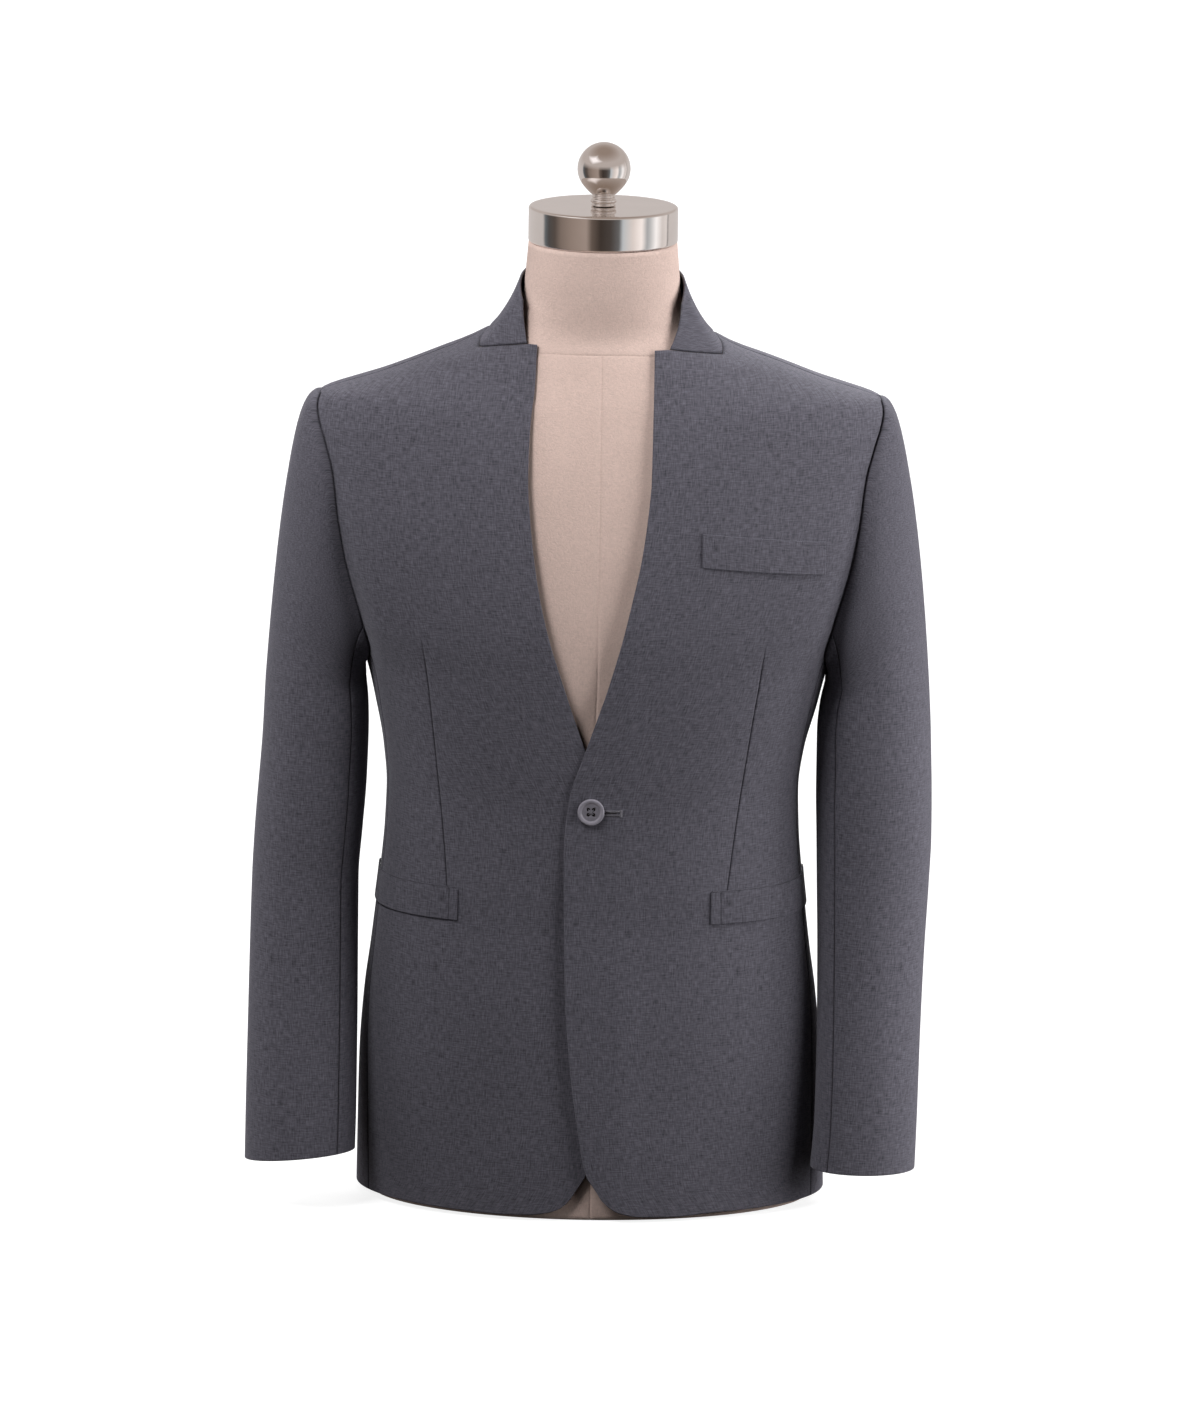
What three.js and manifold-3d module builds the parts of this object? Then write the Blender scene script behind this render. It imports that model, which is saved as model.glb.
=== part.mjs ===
// A single-button suit jacket with a stand collar, worn by a limbless linen-covered dress form.
// Millimetres, +Z up, the front faces -Y, +X is the wearer's left.
import * as THREE from "three";
import { mergeGeometries, mergeVertices } from "three/addons/utils/BufferGeometryUtils.js";
import Module from "manifold-3d";

const wasm = await Module();
wasm.setup();

const CLOTH = 2;            // wall of a made-up cloth piece
const SEAM = 0.3;           // space left between two pieces at a seam
const LAP = 1.35;           // how far each front moves out or in where the fronts lie over each other
const RAD = Math.PI / 180;

// Cross sections of the jacket's body, outside of the cloth.
const BODY = [
  { z: 0, half: 193, front: 139, back: 136, square: 2.0 },
  { z: 60, half: 192, front: 136, back: 138, square: 2.02 },
  { z: 120, half: 190, front: 132, back: 138, square: 2.1 },
  { z: 170, half: 186, front: 128, back: 134, square: 2.2 },
  { z: 207, half: 181, front: 124.5, back: 127, square: 2.32 },
  { z: 245, half: 176.5, front: 121, back: 119, square: 2.42 },
  { z: 272, half: 173.5, front: 120, back: 113, square: 2.5 },
  { z: 308, half: 170.5, front: 119, back: 107, square: 2.5 },
  { z: 341, half: 169.5, front: 119.5, back: 105, square: 2.45 },
  { z: 375, half: 173, front: 122, back: 107, square: 2.4 },
  { z: 408, half: 180, front: 125, back: 112, square: 2.35 },
  { z: 444, half: 190, front: 128, back: 119, square: 2.3 },
  { z: 484, half: 212, front: 130, back: 127, square: 2.25 },
  { z: 540, half: 238, front: 126, back: 133, square: 2.15 },
  { z: 590, half: 251, front: 117, back: 133, square: 2.06 },
  { z: 620, half: 252, front: 109, back: 128, square: 2.02 },
  { z: 640, half: 249.5, front: 102, back: 122.5, square: 2.0 },
  { z: 655, half: 243, front: 96, back: 117, square: 2.0 },
  { z: 662, half: 237, front: 93, back: 114, square: 2.0 },
  { z: 668, half: 228, front: 90, back: 111, square: 2.0 },
  { z: 674, half: 210, front: 87.2, back: 108, square: 2.01 },
  { z: 681, half: 187, front: 84, back: 104.5, square: 2.03 },
  { z: 690, half: 162.5, front: 79.5, back: 98.5, square: 2.05 },
  { z: 700, half: 137.5, front: 75, back: 92, square: 2.05 },
  { z: 711, half: 110.5, front: 69.5, back: 83, square: 2.02 },
  { z: 721, half: 92, front: 64.8, back: 76.5, square: 2.0 },
];

// Cross sections of the form, with the ease of the jacket taken off.
const FORM = [
  { z: 0, half: 182, front: 128, back: 127, square: 2.0 },
  { z: 60, half: 181, front: 126, back: 127, square: 2.02 },
  { z: 120, half: 179, front: 122, back: 127, square: 2.1 },
  { z: 207, half: 170, front: 114.5, back: 116, square: 2.35 },
  { z: 272, half: 162.5, front: 110, back: 102, square: 2.5 },
  { z: 341, half: 158, front: 109.5, back: 95, square: 2.45 },
  { z: 375, half: 161, front: 112, back: 97, square: 2.4 },
  { z: 408, half: 168, front: 115, back: 102, square: 2.35 },
  { z: 444, half: 178, front: 119, back: 110, square: 2.3 },
  { z: 484, half: 184, front: 121, back: 119, square: 2.3 },
  { z: 540, half: 192, front: 118, back: 126, square: 2.3 },
  { z: 590, half: 200, front: 110, back: 126, square: 2.25 },
  { z: 636, half: 206, front: 97.5, back: 117.5, square: 2.2 },
  { z: 655, half: 205, front: 90.8, back: 111.5, square: 2.15 },
  { z: 668, half: 199.5, front: 86, back: 107, square: 2.1 },
  { z: 676, half: 188.5, front: 82.5, back: 103, square: 2.05 },
  { z: 681, half: 178, front: 80.3, back: 100.8, square: 2.03 },
  { z: 690, half: 155.6, front: 76, back: 95, square: 2.02 },
  { z: 700, half: 130.6, front: 71.5, back: 88.4, square: 2.02 },
  { z: 711, half: 103.6, front: 66, back: 79.6, square: 2.0 },
  { z: 721, half: 85.6, front: 61.3, back: 72.8, square: 2.0 },
  { z: 728, half: 76.5, front: 60.8, back: 69.5, square: 2.0 },
  { z: 736, half: 71, front: 61.3, back: 67.2, square: 2.0 },
  { z: 750, half: 65, front: 62.5, back: 65.2, square: 2.0 },
  { z: 765, half: 63.3, front: 62.8, back: 63.6, square: 2.0 },
  { z: 792.5, half: 61, front: 61, back: 61, square: 2.0 },
];
const FORM_LEVELS = [0, 60, 120, 165, 207, 240, 272, 308, 341, 375, 408, 444, 484, 540, 590, 622,
  644, 658, 668, 676, 681, 690, 700, 711, 721, 728, 736, 750, 765, 792.5];
const FORM_SIDES = 36;

// Front edges of the two fronts: sideways place at each height.
const FRONT_EDGE = [
  { z: 19, left: 9.9, right: -16 },
  { z: 29, left: 3.7, right: -9.2 },
  { z: 39, left: -2.7, right: -2.9 },
  { z: 69, left: -8.5, right: 2.5 },
  { z: 118, left: -14.9, right: 9 },
  { z: 184, left: -19.9, right: 14 },
  { z: 266, left: -21.9, right: 16 },
  { z: 308, left: -22.5, right: 16.5 },
  { z: 350, left: -18.8, right: 11 },
  { z: 388, left: -7.7, right: -6 },
  { z: 417, left: 1.3, right: -17.3 },
  { z: 451, left: 11.5, right: -29.4 },
  { z: 484, left: 20.7, right: -39.6 },
  { z: 517, left: 28.4, right: -47.4 },
  { z: 549, left: 35.2, right: -52.6 },
  { z: 581, left: 39.7, right: -56.3 },
  { z: 612, left: 42.5, right: -58.4 },
  { z: 636, left: 42.9, right: -58 },
  { z: 660, left: 43.2, right: -56.7 },
  { z: 685, left: 43.5, right: -53.9 },
  { z: 716.2, left: 43.7, right: -52.8 },
];
const CORNER_LEVEL = 19;    // where the front edge turns into the round lower corner

// Lower edge of the fronts, from the round corner outwards: height above the floor.
const FRONT_HEM = [
  { x: 0, left: 19, right: 19 },
  { x: 6, left: 13.2, right: 12.6 },
  { x: 14, left: 8.6, right: 8.4 },
  { x: 32, left: 4.8, right: 5.2 },
  { x: 60, left: 4.2, right: 4.2 },
  { x: 95, left: 6, right: 4.6 },
  { x: 190, left: 6, right: 6 },
];
const HEM = 6;

// Neck end of the fronts: free corner, front of the collar, gorge corner, neck point of the shoulder.
const NECK = {
  left: { free: { x: 43.9, z: 714.4 }, collar: { x: 55.9, z: 715.2 }, gorge: { x: 99.4, z: 709.4 } },
  right: { free: { x: 52.8, z: 716.2 }, collar: { x: 61.1, z: 716.2 }, gorge: { x: 100.7, z: 709.9 } },
};
const NECK_POINT = 721;
const NECK_BACK = 712;

// Armhole round the body: 0 at the shoulder tip, 180 under the arm, depth before or behind the tip.
const ARM_TOP = 668;
const ARM_LOW = 444;
const ARMHOLE = [
  { turn: 0, front: 0, back: 0 },
  { turn: 22.5, front: 24, back: 26 },
  { turn: 45, front: 45, back: 49.5 },
  { turn: 62, front: 57, back: 63 },
  { turn: 78, front: 63.5, back: 69.5 },
  { turn: 92, front: 66, back: 72 },
  { turn: 106, front: 66.5, back: 72.5 },
  { turn: 120, front: 65, back: 71 },
  { turn: 134, front: 60.5, back: 66 },
  { turn: 146, front: 54, back: 57.5 },
  { turn: 157, front: 44, back: 46 },
  { turn: 168.5, front: 26, back: 27 },
  { turn: 180, front: 0, back: 0 },
];
const JOIN = 10;            // row of ARMHOLE where the side panel's seams end

// Seams between front, side panel and back, in degrees round the body from the centre front.
const SIDE_SEAMS = [
  { z: 6, front: 71, back: 112 },
  { z: 120, front: 74.5, back: 110 },
  { z: 207, front: 79, back: 108.5 },
  { z: 272, front: 81, back: 108 },
  { z: 341, front: 81, back: 108 },
  { z: 400, front: 77, back: 109 },
  { z: 452.9, front: 73, back: 110 },
];
const SEAM_LEVELS = [6, 16, 27, 40, 60, 85, 120, 163, 207, 240, 272, 308, 341, 375, 404, 429];
const RIDGE_LEVELS = [674, 681, 690, 700, 711, 721];

// Sleeves below the head: outer and inner side of each, centre line and half depth at each height.
const SLEEVE = [
  { z: 35, outLeft: 267, inLeft: 181, outRight: 284.3, inRight: 193.5, centre: -71, deep: 45 },
  { z: 76, outLeft: 268.4, inLeft: 184, outRight: 284.1, inRight: 193, centre: -62, deep: 46.5 },
  { z: 143, outLeft: 270.1, inLeft: 185, outRight: 283.4, inRight: 193, centre: -46, deep: 49 },
  { z: 210, outLeft: 272.6, inLeft: 184.5, outRight: 282.6, inRight: 193.5, centre: -30, deep: 51.5 },
  { z: 265, outLeft: 275.6, inLeft: 183.3, outRight: 281.6, inRight: 193.8, centre: -20, deep: 53.7 },
  { z: 305, outLeft: 277.2, inLeft: 182.4, outRight: 279.8, inRight: 191, centre: -15, deep: 55.5 },
  { z: 344, outLeft: 277.2, inLeft: 181.5, outRight: 277.2, inRight: 188.2, centre: -11.5, deep: 57 },
  { z: 390, outLeft: 275.6, inLeft: 181.6, outRight: 274.4, inRight: 187, centre: -8, deep: 59.5 },
  { z: 411, outLeft: 274.5, inLeft: 183.4, outRight: 273.3, inRight: 187.6, centre: -6, deep: 60.7 },
  { z: 430, outLeft: 273.4, inLeft: 187.5, outRight: 272.4, inRight: 189.6, centre: -4, deep: 62 },
];
const SLEEVE_TOP = 430;
const SLEEVE_LEVELS = [408, 382, 344, 305, 265, 222, 177, 130, 82, 35];
const HEAD_ROWS = 7;
// Fullness of each sleeve head, then the cuff: lift of its whole end, of its front and of its inner side.
const CUFF = {
  left: { side: 1, full: 0.78, lift: 1.5, front: 1.5, inner: 0 },
  right: { side: -1, full: 1, lift: 2, front: 3.5, inner: 9 },
};
const CUFF_REACH = 90;

// The form stands a little askew: sideways sway by height, and a lower neck on its left.
const SWAY = [
  { z: 0, x: 0 },
  { z: 60, x: -0.6 },
  { z: 130, x: -1.8 },
  { z: 250, x: -2.6 },
  { z: 340, x: -2.4 },
  { z: 400, x: -1.2 },
  { z: 440, x: 0 },
];
const NECK_DROP = 2.4;

// How the sleeve leaves the armhole (out, forward, up) and how high its straight part reaches.
const HEAD = [
  { turn: 0, out: 20, forward: 0, up: 3, lift: 170 },
  { turn: 45, out: 18, forward: 7, up: 1, lift: 120 },
  { turn: 90, out: 13, forward: 6, up: -6, lift: 62 },
  { turn: 135, out: 6, forward: 3, up: -8, lift: 25 },
  { turn: 180, out: 1.5, forward: 0, up: -4, lift: 6 },
];
const SLEEVE_SEAM_FRONT = 8;    // station of the front sleeve seam
const SLEEVE_SEAM_BACK = 17;    // station of the back sleeve seam

// Collar stations from its front end to the centre back: middle and top of the band.
const COLLAR = [
  { along: 0, mx: 64.5, my: -43.5, mz: 731, tx: 66.3, ty: -35, tz: 749 },
  { along: 0.17, mx: 73, my: -37, mz: 727, tx: 67.6, ty: -25, tz: 755 },
  { along: 0.33, mx: 81, my: -28, mz: 728, tx: 68, ty: -15, tz: 760 },
  { along: 0.5, mx: 74.5, my: 0, mz: 740, tx: 66.8, ty: 0, tz: 765.5 },
  { along: 0.67, mx: 62, my: 37, mz: 740, tx: 59, ty: 36, tz: 767.5 },
  { along: 0.83, mx: 36, my: 64, mz: 739, tx: 33, ty: 59.5, tz: 768 },
  { along: 1, mx: 0, my: 74, mz: 738, tx: 0, ty: 69, tz: 768 },
];
const COLLAR_ROWS = 5;

const GORGE_COLUMNS = 5;
const SHOULDER_COLUMNS = 6;
const FRONT_COLUMNS = 1 + GORGE_COLUMNS + SHOULDER_COLUMNS;
const BACK_COLUMNS = 10;

const WELT = 1.2;           // thickness of a pocket welt
const WELT_LIES = 0.4;      // space under it
const WAIST_WELT = { low: 245, high: 272.6, end: 95, columns: 18, rows: 2 };
const WAIST_WELT_FRONT = { left: 98.3, right: 108.5 };
const CHEST_WELT = {
  inner: { x: 84.6, low: 543.4, high: 570.8 },
  outer: { x: 184.8, low: 533, high: 560.6 },
  columns: 12,
  rows: 2,
};

const BUTTON = { x: -0.9, z: 340.2, radius: 11, thick: 3.2, rim: 2.6, dish: 0.9, hole: 1.3, pitch: 2.1 };
const CAP = { low: 792.8, high: 822.3, radius: 61.3, round: 2.2 };
const BALL = { z: 853.2, radius: 21.8, stem: 10.7, foot: 822.6 };

// Smooth curve through a table, with no overshoot between its rows.
function smooth(table, key, name) {
  const xs = table.map((row) => row[key]);
  const ys = table.map((row) => row[name]);
  const last = xs.length - 1;
  const slope = xs.slice(1).map((x, i) => (ys[i + 1] - ys[i]) / (x - xs[i]));
  const tangent = ys.map((_, i) => {
    if (i === 0) return slope[0];
    if (i === last) return slope[last - 1];
    if (slope[i - 1] * slope[i] <= 0) return 0;
    const before = xs[i] - xs[i - 1];
    const after = xs[i + 1] - xs[i];
    const one = 2 * after + before;
    const two = after + 2 * before;
    return (one + two) / (one / slope[i - 1] + two / slope[i]);
  });
  return (value) => {
    const x = Math.min(Math.max(value, xs[0]), xs[last]);
    let i = 0;
    while (i < last - 1 && x > xs[i + 1]) i += 1;
    const wide = xs[i + 1] - xs[i];
    const t = (x - xs[i]) / wide;
    const rise = t * t * (3 - 2 * t);
    const start = t * (1 - t) * (1 - t) * wide * tangent[i];
    const end = t * t * (t - 1) * wide * tangent[i + 1];
    return ys[i] + (ys[i + 1] - ys[i]) * rise + start + end;
  };
}

function shell(table) {
  const half = smooth(table, "z", "half");
  const front = smooth(table, "z", "front");
  const back = smooth(table, "z", "back");
  const square = smooth(table, "z", "square");
  const value = (x, y, z) => {
    const deep = y < 0 ? front(z) : back(z);
    const n = square(z);
    return Math.abs(x / half(z)) ** n + Math.abs(y / deep) ** n;
  };
  const point = (angle, z) => {
    const n = square(z);
    const s = Math.sin(angle * RAD);
    const c = Math.cos(angle * RAD);
    const deep = c > 0 ? front(z) : back(z);
    const x = half(z) * Math.sign(s) * Math.abs(s) ** (2 / n);
    const y = -deep * Math.sign(c) * Math.abs(c) ** (2 / n);
    return new THREE.Vector3(x, y, z);
  };
  const normal = (p) => {
    const n = square(p.z);
    const deep = p.y < 0 ? front(p.z) : back(p.z);
    const gx = n / half(p.z) * Math.sign(p.x) * Math.abs(p.x / half(p.z)) ** (n - 1);
    const gy = n / deep * Math.sign(p.y) * Math.abs(p.y / deep) ** (n - 1);
    const gz = value(p.x, p.y, p.z + 0.5) - value(p.x, p.y, p.z - 0.5);
    return new THREE.Vector3(gx, gy, gz).normalize();
  };
  const angleAtX = (x, z) => {
    const share = Math.min(Math.abs(x) / half(z), 1);
    return Math.sign(x) * Math.asin(share ** (square(z) / 2)) / RAD;
  };
  const angleAtDepth = (depth, z, behind) => {
    const deep = behind ? back(z) : front(z);
    const angle = Math.acos(Math.min(depth / deep, 1) ** (square(z) / 2)) / RAD;
    return behind ? 180 - angle : angle;
  };
  return { point, normal, angleAtX, angleAtDepth };
}

const body = shell(BODY);
const form = shell(FORM);

const lerp = (a, b, t) => a + (b - a) * t;
const steps = (count) => Array.from({ length: count + 1 }, (_, i) => i / count);

const armLevel = (turn) => (ARM_TOP + ARM_LOW) / 2 + (ARM_TOP - ARM_LOW) / 2 * Math.cos(turn * RAD);
const armStation = (row, behind) => {
  const z = armLevel(row.turn);
  const depth = behind ? row.back : row.front;
  return { z, angle: depth > 0 ? body.angleAtDepth(depth, z, behind) : 90 };
};
const ARM_ROWS = ARMHOLE.slice(0, JOIN + 1).reverse();
const BODY_LEVELS = [...SEAM_LEVELS, ...ARM_ROWS.map((row) => armLevel(row.turn)), ...RIDGE_LEVELS];

const seamAngle = {
  front: smooth(SIDE_SEAMS, "z", "front"),
  back: smooth(SIDE_SEAMS, "z", "back"),
};

// Side edge of a front or back from hem to neck point, as angle and height.
function sideEdge(behind) {
  const name = behind ? "back" : "front";
  const low = SEAM_LEVELS.map((z) => ({ z, angle: seamAngle[name](z) }));
  const arm = ARM_ROWS.map((row) => armStation(row, behind));
  const ridge = RIDGE_LEVELS.map((z) => ({ z, angle: 90 }));
  return [...low, ...arm, ...ridge];
}

// Fill a patch between four edges given as lists of {angle, z}; low and high run across.
function patch(low, high, first, last) {
  const rows = first.length - 1;
  const columns = low.length - 1;
  const share = last.map((edge) => (edge.z - last[0].z) / (last[rows].z - last[0].z));
  return first.map((_, j) => low.map((__, i) => {
    const t = share[j];
    const s = i / columns;
    const mix = (key) => {
      const across = lerp(first[j][key], last[j][key], s);
      const up = lerp(low[i][key], high[i][key], t);
      const lowCorners = lerp(low[0][key], low[columns][key], s);
      const highCorners = lerp(high[0][key], high[columns][key], s);
      return across + up - lerp(lowCorners, highCorners, t);
    };
    return { angle: mix("angle"), z: mix("z") };
  }));
}

// Closed cloth wall from outer and inner points laid out in rows.
function wall(outer, inner) {
  const rows = outer.length;
  const columns = outer[0].length;
  const points = [...outer.flat(), ...inner.flat()];
  const at = (layer, j, i) => layer * rows * columns + j * columns + i;
  const faces = [];
  const quad = (a, b, c, d) => faces.push(a, b, c, a, c, d);
  for (let j = 0; j < rows - 1; j += 1) {
    for (let i = 0; i < columns - 1; i += 1) {
      quad(at(0, j, i), at(0, j, i + 1), at(0, j + 1, i + 1), at(0, j + 1, i));
      quad(at(1, j, i), at(1, j + 1, i), at(1, j + 1, i + 1), at(1, j, i + 1));
    }
  }
  for (let i = 0; i < columns - 1; i += 1) {
    quad(at(0, 0, i), at(1, 0, i), at(1, 0, i + 1), at(0, 0, i + 1));
    quad(at(0, rows - 1, i), at(0, rows - 1, i + 1), at(1, rows - 1, i + 1), at(1, rows - 1, i));
  }
  for (let j = 0; j < rows - 1; j += 1) {
    quad(at(0, j, 0), at(0, j + 1, 0), at(1, j + 1, 0), at(1, j, 0));
    const end = columns - 1;
    quad(at(0, j, end), at(1, j, end), at(1, j + 1, end), at(0, j + 1, end));
  }
  return solid(points, faces);
}

// Closed body from points and faces, turned so that it faces out.
function solid(points, faces) {
  let volume = 0;
  const cross = new THREE.Vector3();
  for (let k = 0; k < faces.length; k += 3) {
    cross.crossVectors(points[faces[k + 1]], points[faces[k + 2]]);
    volume += points[faces[k]].dot(cross) / 6;
  }
  if (volume < 0) faces.reverse();
  const geometry = new THREE.BufferGeometry();
  const numbers = points.flatMap((p) => p.toArray());
  geometry.setAttribute("position", new THREE.Float32BufferAttribute(numbers, 3));
  geometry.setIndex(faces);
  return geometry;
}

// Surface directions of a grid of points, from its neighbours.
function gridNormals(grid) {
  const rows = grid.length - 1;
  const columns = grid[0].length - 1;
  return grid.map((row, j) => row.map((_, i) => {
    const along = grid[j][Math.min(i + 1, columns)].clone().sub(grid[j][Math.max(i - 1, 0)]);
    const up = grid[Math.min(j + 1, rows)][i].clone().sub(grid[Math.max(j - 1, 0)][i]);
    return along.cross(up).normalize();
  }));
}

const offset = (grid, normals, distance) => grid.map((row, j) => row.map((p, i) => {
  const move = typeof distance === "function" ? distance(p) : distance;
  return p.clone().addScaledVector(normals[j][i], move);
}));

// Draw the named edges of a grid in by half a seam.
function inset(grid, edges) {
  const rows = grid.length - 1;
  const columns = grid[0].length - 1;
  const pull = (p, towards) => towards.clone().sub(p).setLength(SEAM / 2);
  const moves = [];
  grid.forEach((row, j) => row.forEach((p, i) => {
    const move = new THREE.Vector3();
    if (edges.includes("first") && i === 0) move.add(pull(p, row[1]));
    if (edges.includes("last") && i === columns) move.add(pull(p, row[columns - 1]));
    if (edges.includes("low") && j === 0) move.add(pull(p, grid[1][i]));
    if (edges.includes("high") && j === rows) move.add(pull(p, grid[rows - 1][i]));
    moves.push([p, move]);
  }));
  moves.forEach(([p, move]) => p.add(move));
  return grid;
}

// A piece of the jacket's body from its patch, moved off the surface by `lap` of each point.
function bodyPiece(cells, side, edges, lap) {
  const surface = cells.map((row) => row.map((cell) => body.point(cell.angle, cell.z)));
  const flip = new THREE.Vector3(side, 1, 1);
  inset(surface, edges);
  const normals = surface.map((row) => row.map((p) => body.normal(p)));
  const outer = offset(surface, normals, lap);
  const inner = offset(surface, normals, (p) => lap(p) - CLOTH);
  outer.flat().forEach((p) => p.multiply(flip));
  inner.flat().forEach((p) => p.multiply(flip));
  return wall(outer, inner);
}

// Neck end of a front, from the free corner to the neck point, in columns.
function frontNeck(name) {
  const { free, collar, gorge } = NECK[name];
  const cell = ({ x, z }) => ({ angle: body.angleAtX(x, z), z });
  const a = cell(free);
  const b = cell(collar);
  const c = cell(gorge);
  const cells = [a];
  for (let i = 0; i < GORGE_COLUMNS; i += 1) {
    const t = i / GORGE_COLUMNS;
    cells.push({ angle: lerp(b.angle, c.angle, t), z: lerp(b.z, c.z, t) });
  }
  for (let i = 0; i <= SHOULDER_COLUMNS; i += 1) {
    const t = i / SHOULDER_COLUMNS;
    cells.push({ angle: lerp(c.angle, 90, t), z: lerp(c.z, NECK_POINT, t) });
  }
  return cells;
}

const backNeck = steps(BACK_COLUMNS).map((t) => ({
  angle: lerp(90, 180, t),
  z: NECK_POINT - (NECK_POINT - NECK_BACK) * Math.sin(t * 90 * RAD) ** 1.2,
}));

function frontPiece(name) {
  const side = name === "left" ? 1 : -1;
  const edgeX = smooth(FRONT_EDGE, "z", name);
  const hem = smooth(FRONT_HEM, "x", name);
  const last = sideEdge(false);
  const high = frontNeck(name);
  const top = NECK[name].free.z;
  const first = BODY_LEVELS.map((level) => {
    const z = lerp(CORNER_LEVEL, top, (level - HEM) / (NECK_POINT - HEM));
    return { angle: body.angleAtX(side * edgeX(z), z), z };
  });
  const cornerX = side * edgeX(CORNER_LEVEL);
  const sideX = body.point(last[0].angle, HEM).x;
  const low = steps(FRONT_COLUMNS).map((t) => {
    const x = lerp(cornerX, sideX, t ** 1.35);
    const z = hem(x - cornerX);
    return { angle: body.angleAtX(x, z), z };
  });
  last[0] = { ...last[0], z: low[FRONT_COLUMNS].z };
  const fade = (x) => Math.min(Math.max((x - 22) / 26, 0), 1);
  const lap = (p) => side * LAP * (1 - fade(p.x) ** 2 * (3 - 2 * fade(p.x)));
  return bodyPiece(patch(low, high, first, last), side, ["last"], lap);
}

function sidePiece(side) {
  const levels = [...SEAM_LEVELS, armLevel(ARMHOLE[JOIN].turn)];
  const under = ARMHOLE.slice(JOIN);
  const frontStations = under.map((row) => armStation(row, false));
  const backStations = under.map((row) => armStation(row, true)).reverse().slice(1);
  const high = [...frontStations, ...backStations];
  const first = levels.map((z) => ({ z, angle: seamAngle.front(z) }));
  const last = levels.map((z) => ({ z, angle: seamAngle.back(z) }));
  first[levels.length - 1] = high[0];
  last[levels.length - 1] = high[high.length - 1];
  const low = high.map((_, i) => {
    const t = i / (high.length - 1);
    return { z: HEM, angle: lerp(first[0].angle, last[0].angle, t) };
  });
  return bodyPiece(patch(low, high, first, last), side, ["first", "last"], () => 0);
}

function backPiece(side) {
  const first = sideEdge(true);
  const last = BODY_LEVELS.map((level) => {
    const z = lerp(HEM, NECK_BACK, (level - HEM) / (NECK_POINT - HEM));
    return { z, angle: 180 };
  });
  const low = steps(BACK_COLUMNS).map((t) => ({ z: HEM, angle: lerp(first[0].angle, 180, t) }));
  return bodyPiece(patch(low, backNeck, first, last), side, ["first", "last"], () => 0);
}

// Stations round a sleeve: down the front of the armhole and up its back.
const STATIONS = [
  ...ARMHOLE.map((row) => ({ row, behind: false, turn: row.turn })),
  ...ARMHOLE.slice(1, -1).reverse().map((row) => ({ row, behind: true, turn: 360 - row.turn })),
];
const headCurve = Object.fromEntries(
  ["out", "forward", "up", "lift"].map((name) => [name, smooth(HEAD, "turn", name)]),
);
const sleeveCurve = (name) => ({
  outer: smooth(SLEEVE, "z", name === "left" ? "outLeft" : "outRight"),
  inner: smooth(SLEEVE, "z", name === "left" ? "inLeft" : "inRight"),
  centre: smooth(SLEEVE, "z", "centre"),
  deep: smooth(SLEEVE, "z", "deep"),
});

// A point of the hanging sleeve; towards the cuff its rings tilt.
function sleevePoint(turn, z, curve, cuff) {
  const outer = curve.outer(z);
  const inner = curve.inner(z);
  const x = (outer + inner) / 2 + (outer - inner) / 2 * Math.cos(turn * RAD);
  const y = curve.centre(z) - curve.deep(z) * Math.sin(turn * RAD);
  const near = Math.max(1 - (z - SLEEVE[0].z) / CUFF_REACH, 0) ** 1.5;
  const tilt = cuff.lift + cuff.front * Math.sin(turn * RAD) + cuff.inner * (1 - Math.cos(turn * RAD)) / 2;
  return new THREE.Vector3(x, y, z + tilt * near);
}

// One lengthwise line of the sleeve from armhole to cuff.
function sleeveLine(station, curve, cuff) {
  const { row, behind, turn } = station;
  const round = behind ? 360 - turn : turn;
  const cell = armStation(row, behind);
  const rise = (1 - Math.cos(turn * RAD)) / 2;
  const away = new THREE.Vector3(1, 0, rise).setLength(SEAM + 0.15);
  const start = body.point(cell.angle, cell.z).add(away);
  const forward = headCurve.forward(round) * (behind ? 1 : -1);
  const leave = new THREE.Vector3(headCurve.out(round) * cuff.full, forward, headCurve.up(round));
  const end = sleevePoint(turn, SLEEVE_TOP, curve, cuff);
  const lift = headCurve.lift(round);
  const arrive = end.clone().add(new THREE.Vector3(-0.065 * lift, 0, lift));
  const line = new THREE.CubicBezierCurve3(start, start.clone().add(leave), arrive, end);
  const head = steps(HEAD_ROWS).map((t) => line.getPoint(t));
  return [...head, ...SLEEVE_LEVELS.map((z) => sleevePoint(turn, z, curve, cuff))];
}

function sleevePieces(name) {
  const cuff = CUFF[name];
  const curve = sleeveCurve(name);
  const lines = STATIONS.map((station) => sleeveLine(station, curve, cuff));
  const count = lines.length;
  const ring = lines[0].map((_, j) => [...lines, ...lines.slice(0, 3)].map((line) => line[j].clone()));
  const wrapped = ring.map((row) => [lines[count - 1][ring.indexOf(row)].clone(), ...row]);
  const normals = gridNormals(wrapped);
  const outward = normals[10][1].x < 0 ? -1 : 1;
  const flip = new THREE.Vector3(cuff.side, 1, 1);
  const cut = (from, to) => {
    const pick = [];
    for (let i = from; i <= to; i += 1) pick.push((i + count) % count + 1);
    const outer = wrapped.map((row) => pick.map((i) => row[i].clone()));
    const facing = normals.map((row) => pick.map((i) => row[i].clone().multiplyScalar(outward)));
    inset(outer, ["first", "last"]);
    const inner = offset(outer, facing, -CLOTH);
    outer.flat().forEach((p) => p.multiply(flip));
    inner.flat().forEach((p) => p.multiply(flip));
    return wall(outer, inner);
  };
  return {
    top: cut(SLEEVE_SEAM_BACK - count, SLEEVE_SEAM_FRONT),
    under: cut(SLEEVE_SEAM_FRONT, SLEEVE_SEAM_BACK),
  };
}

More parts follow.
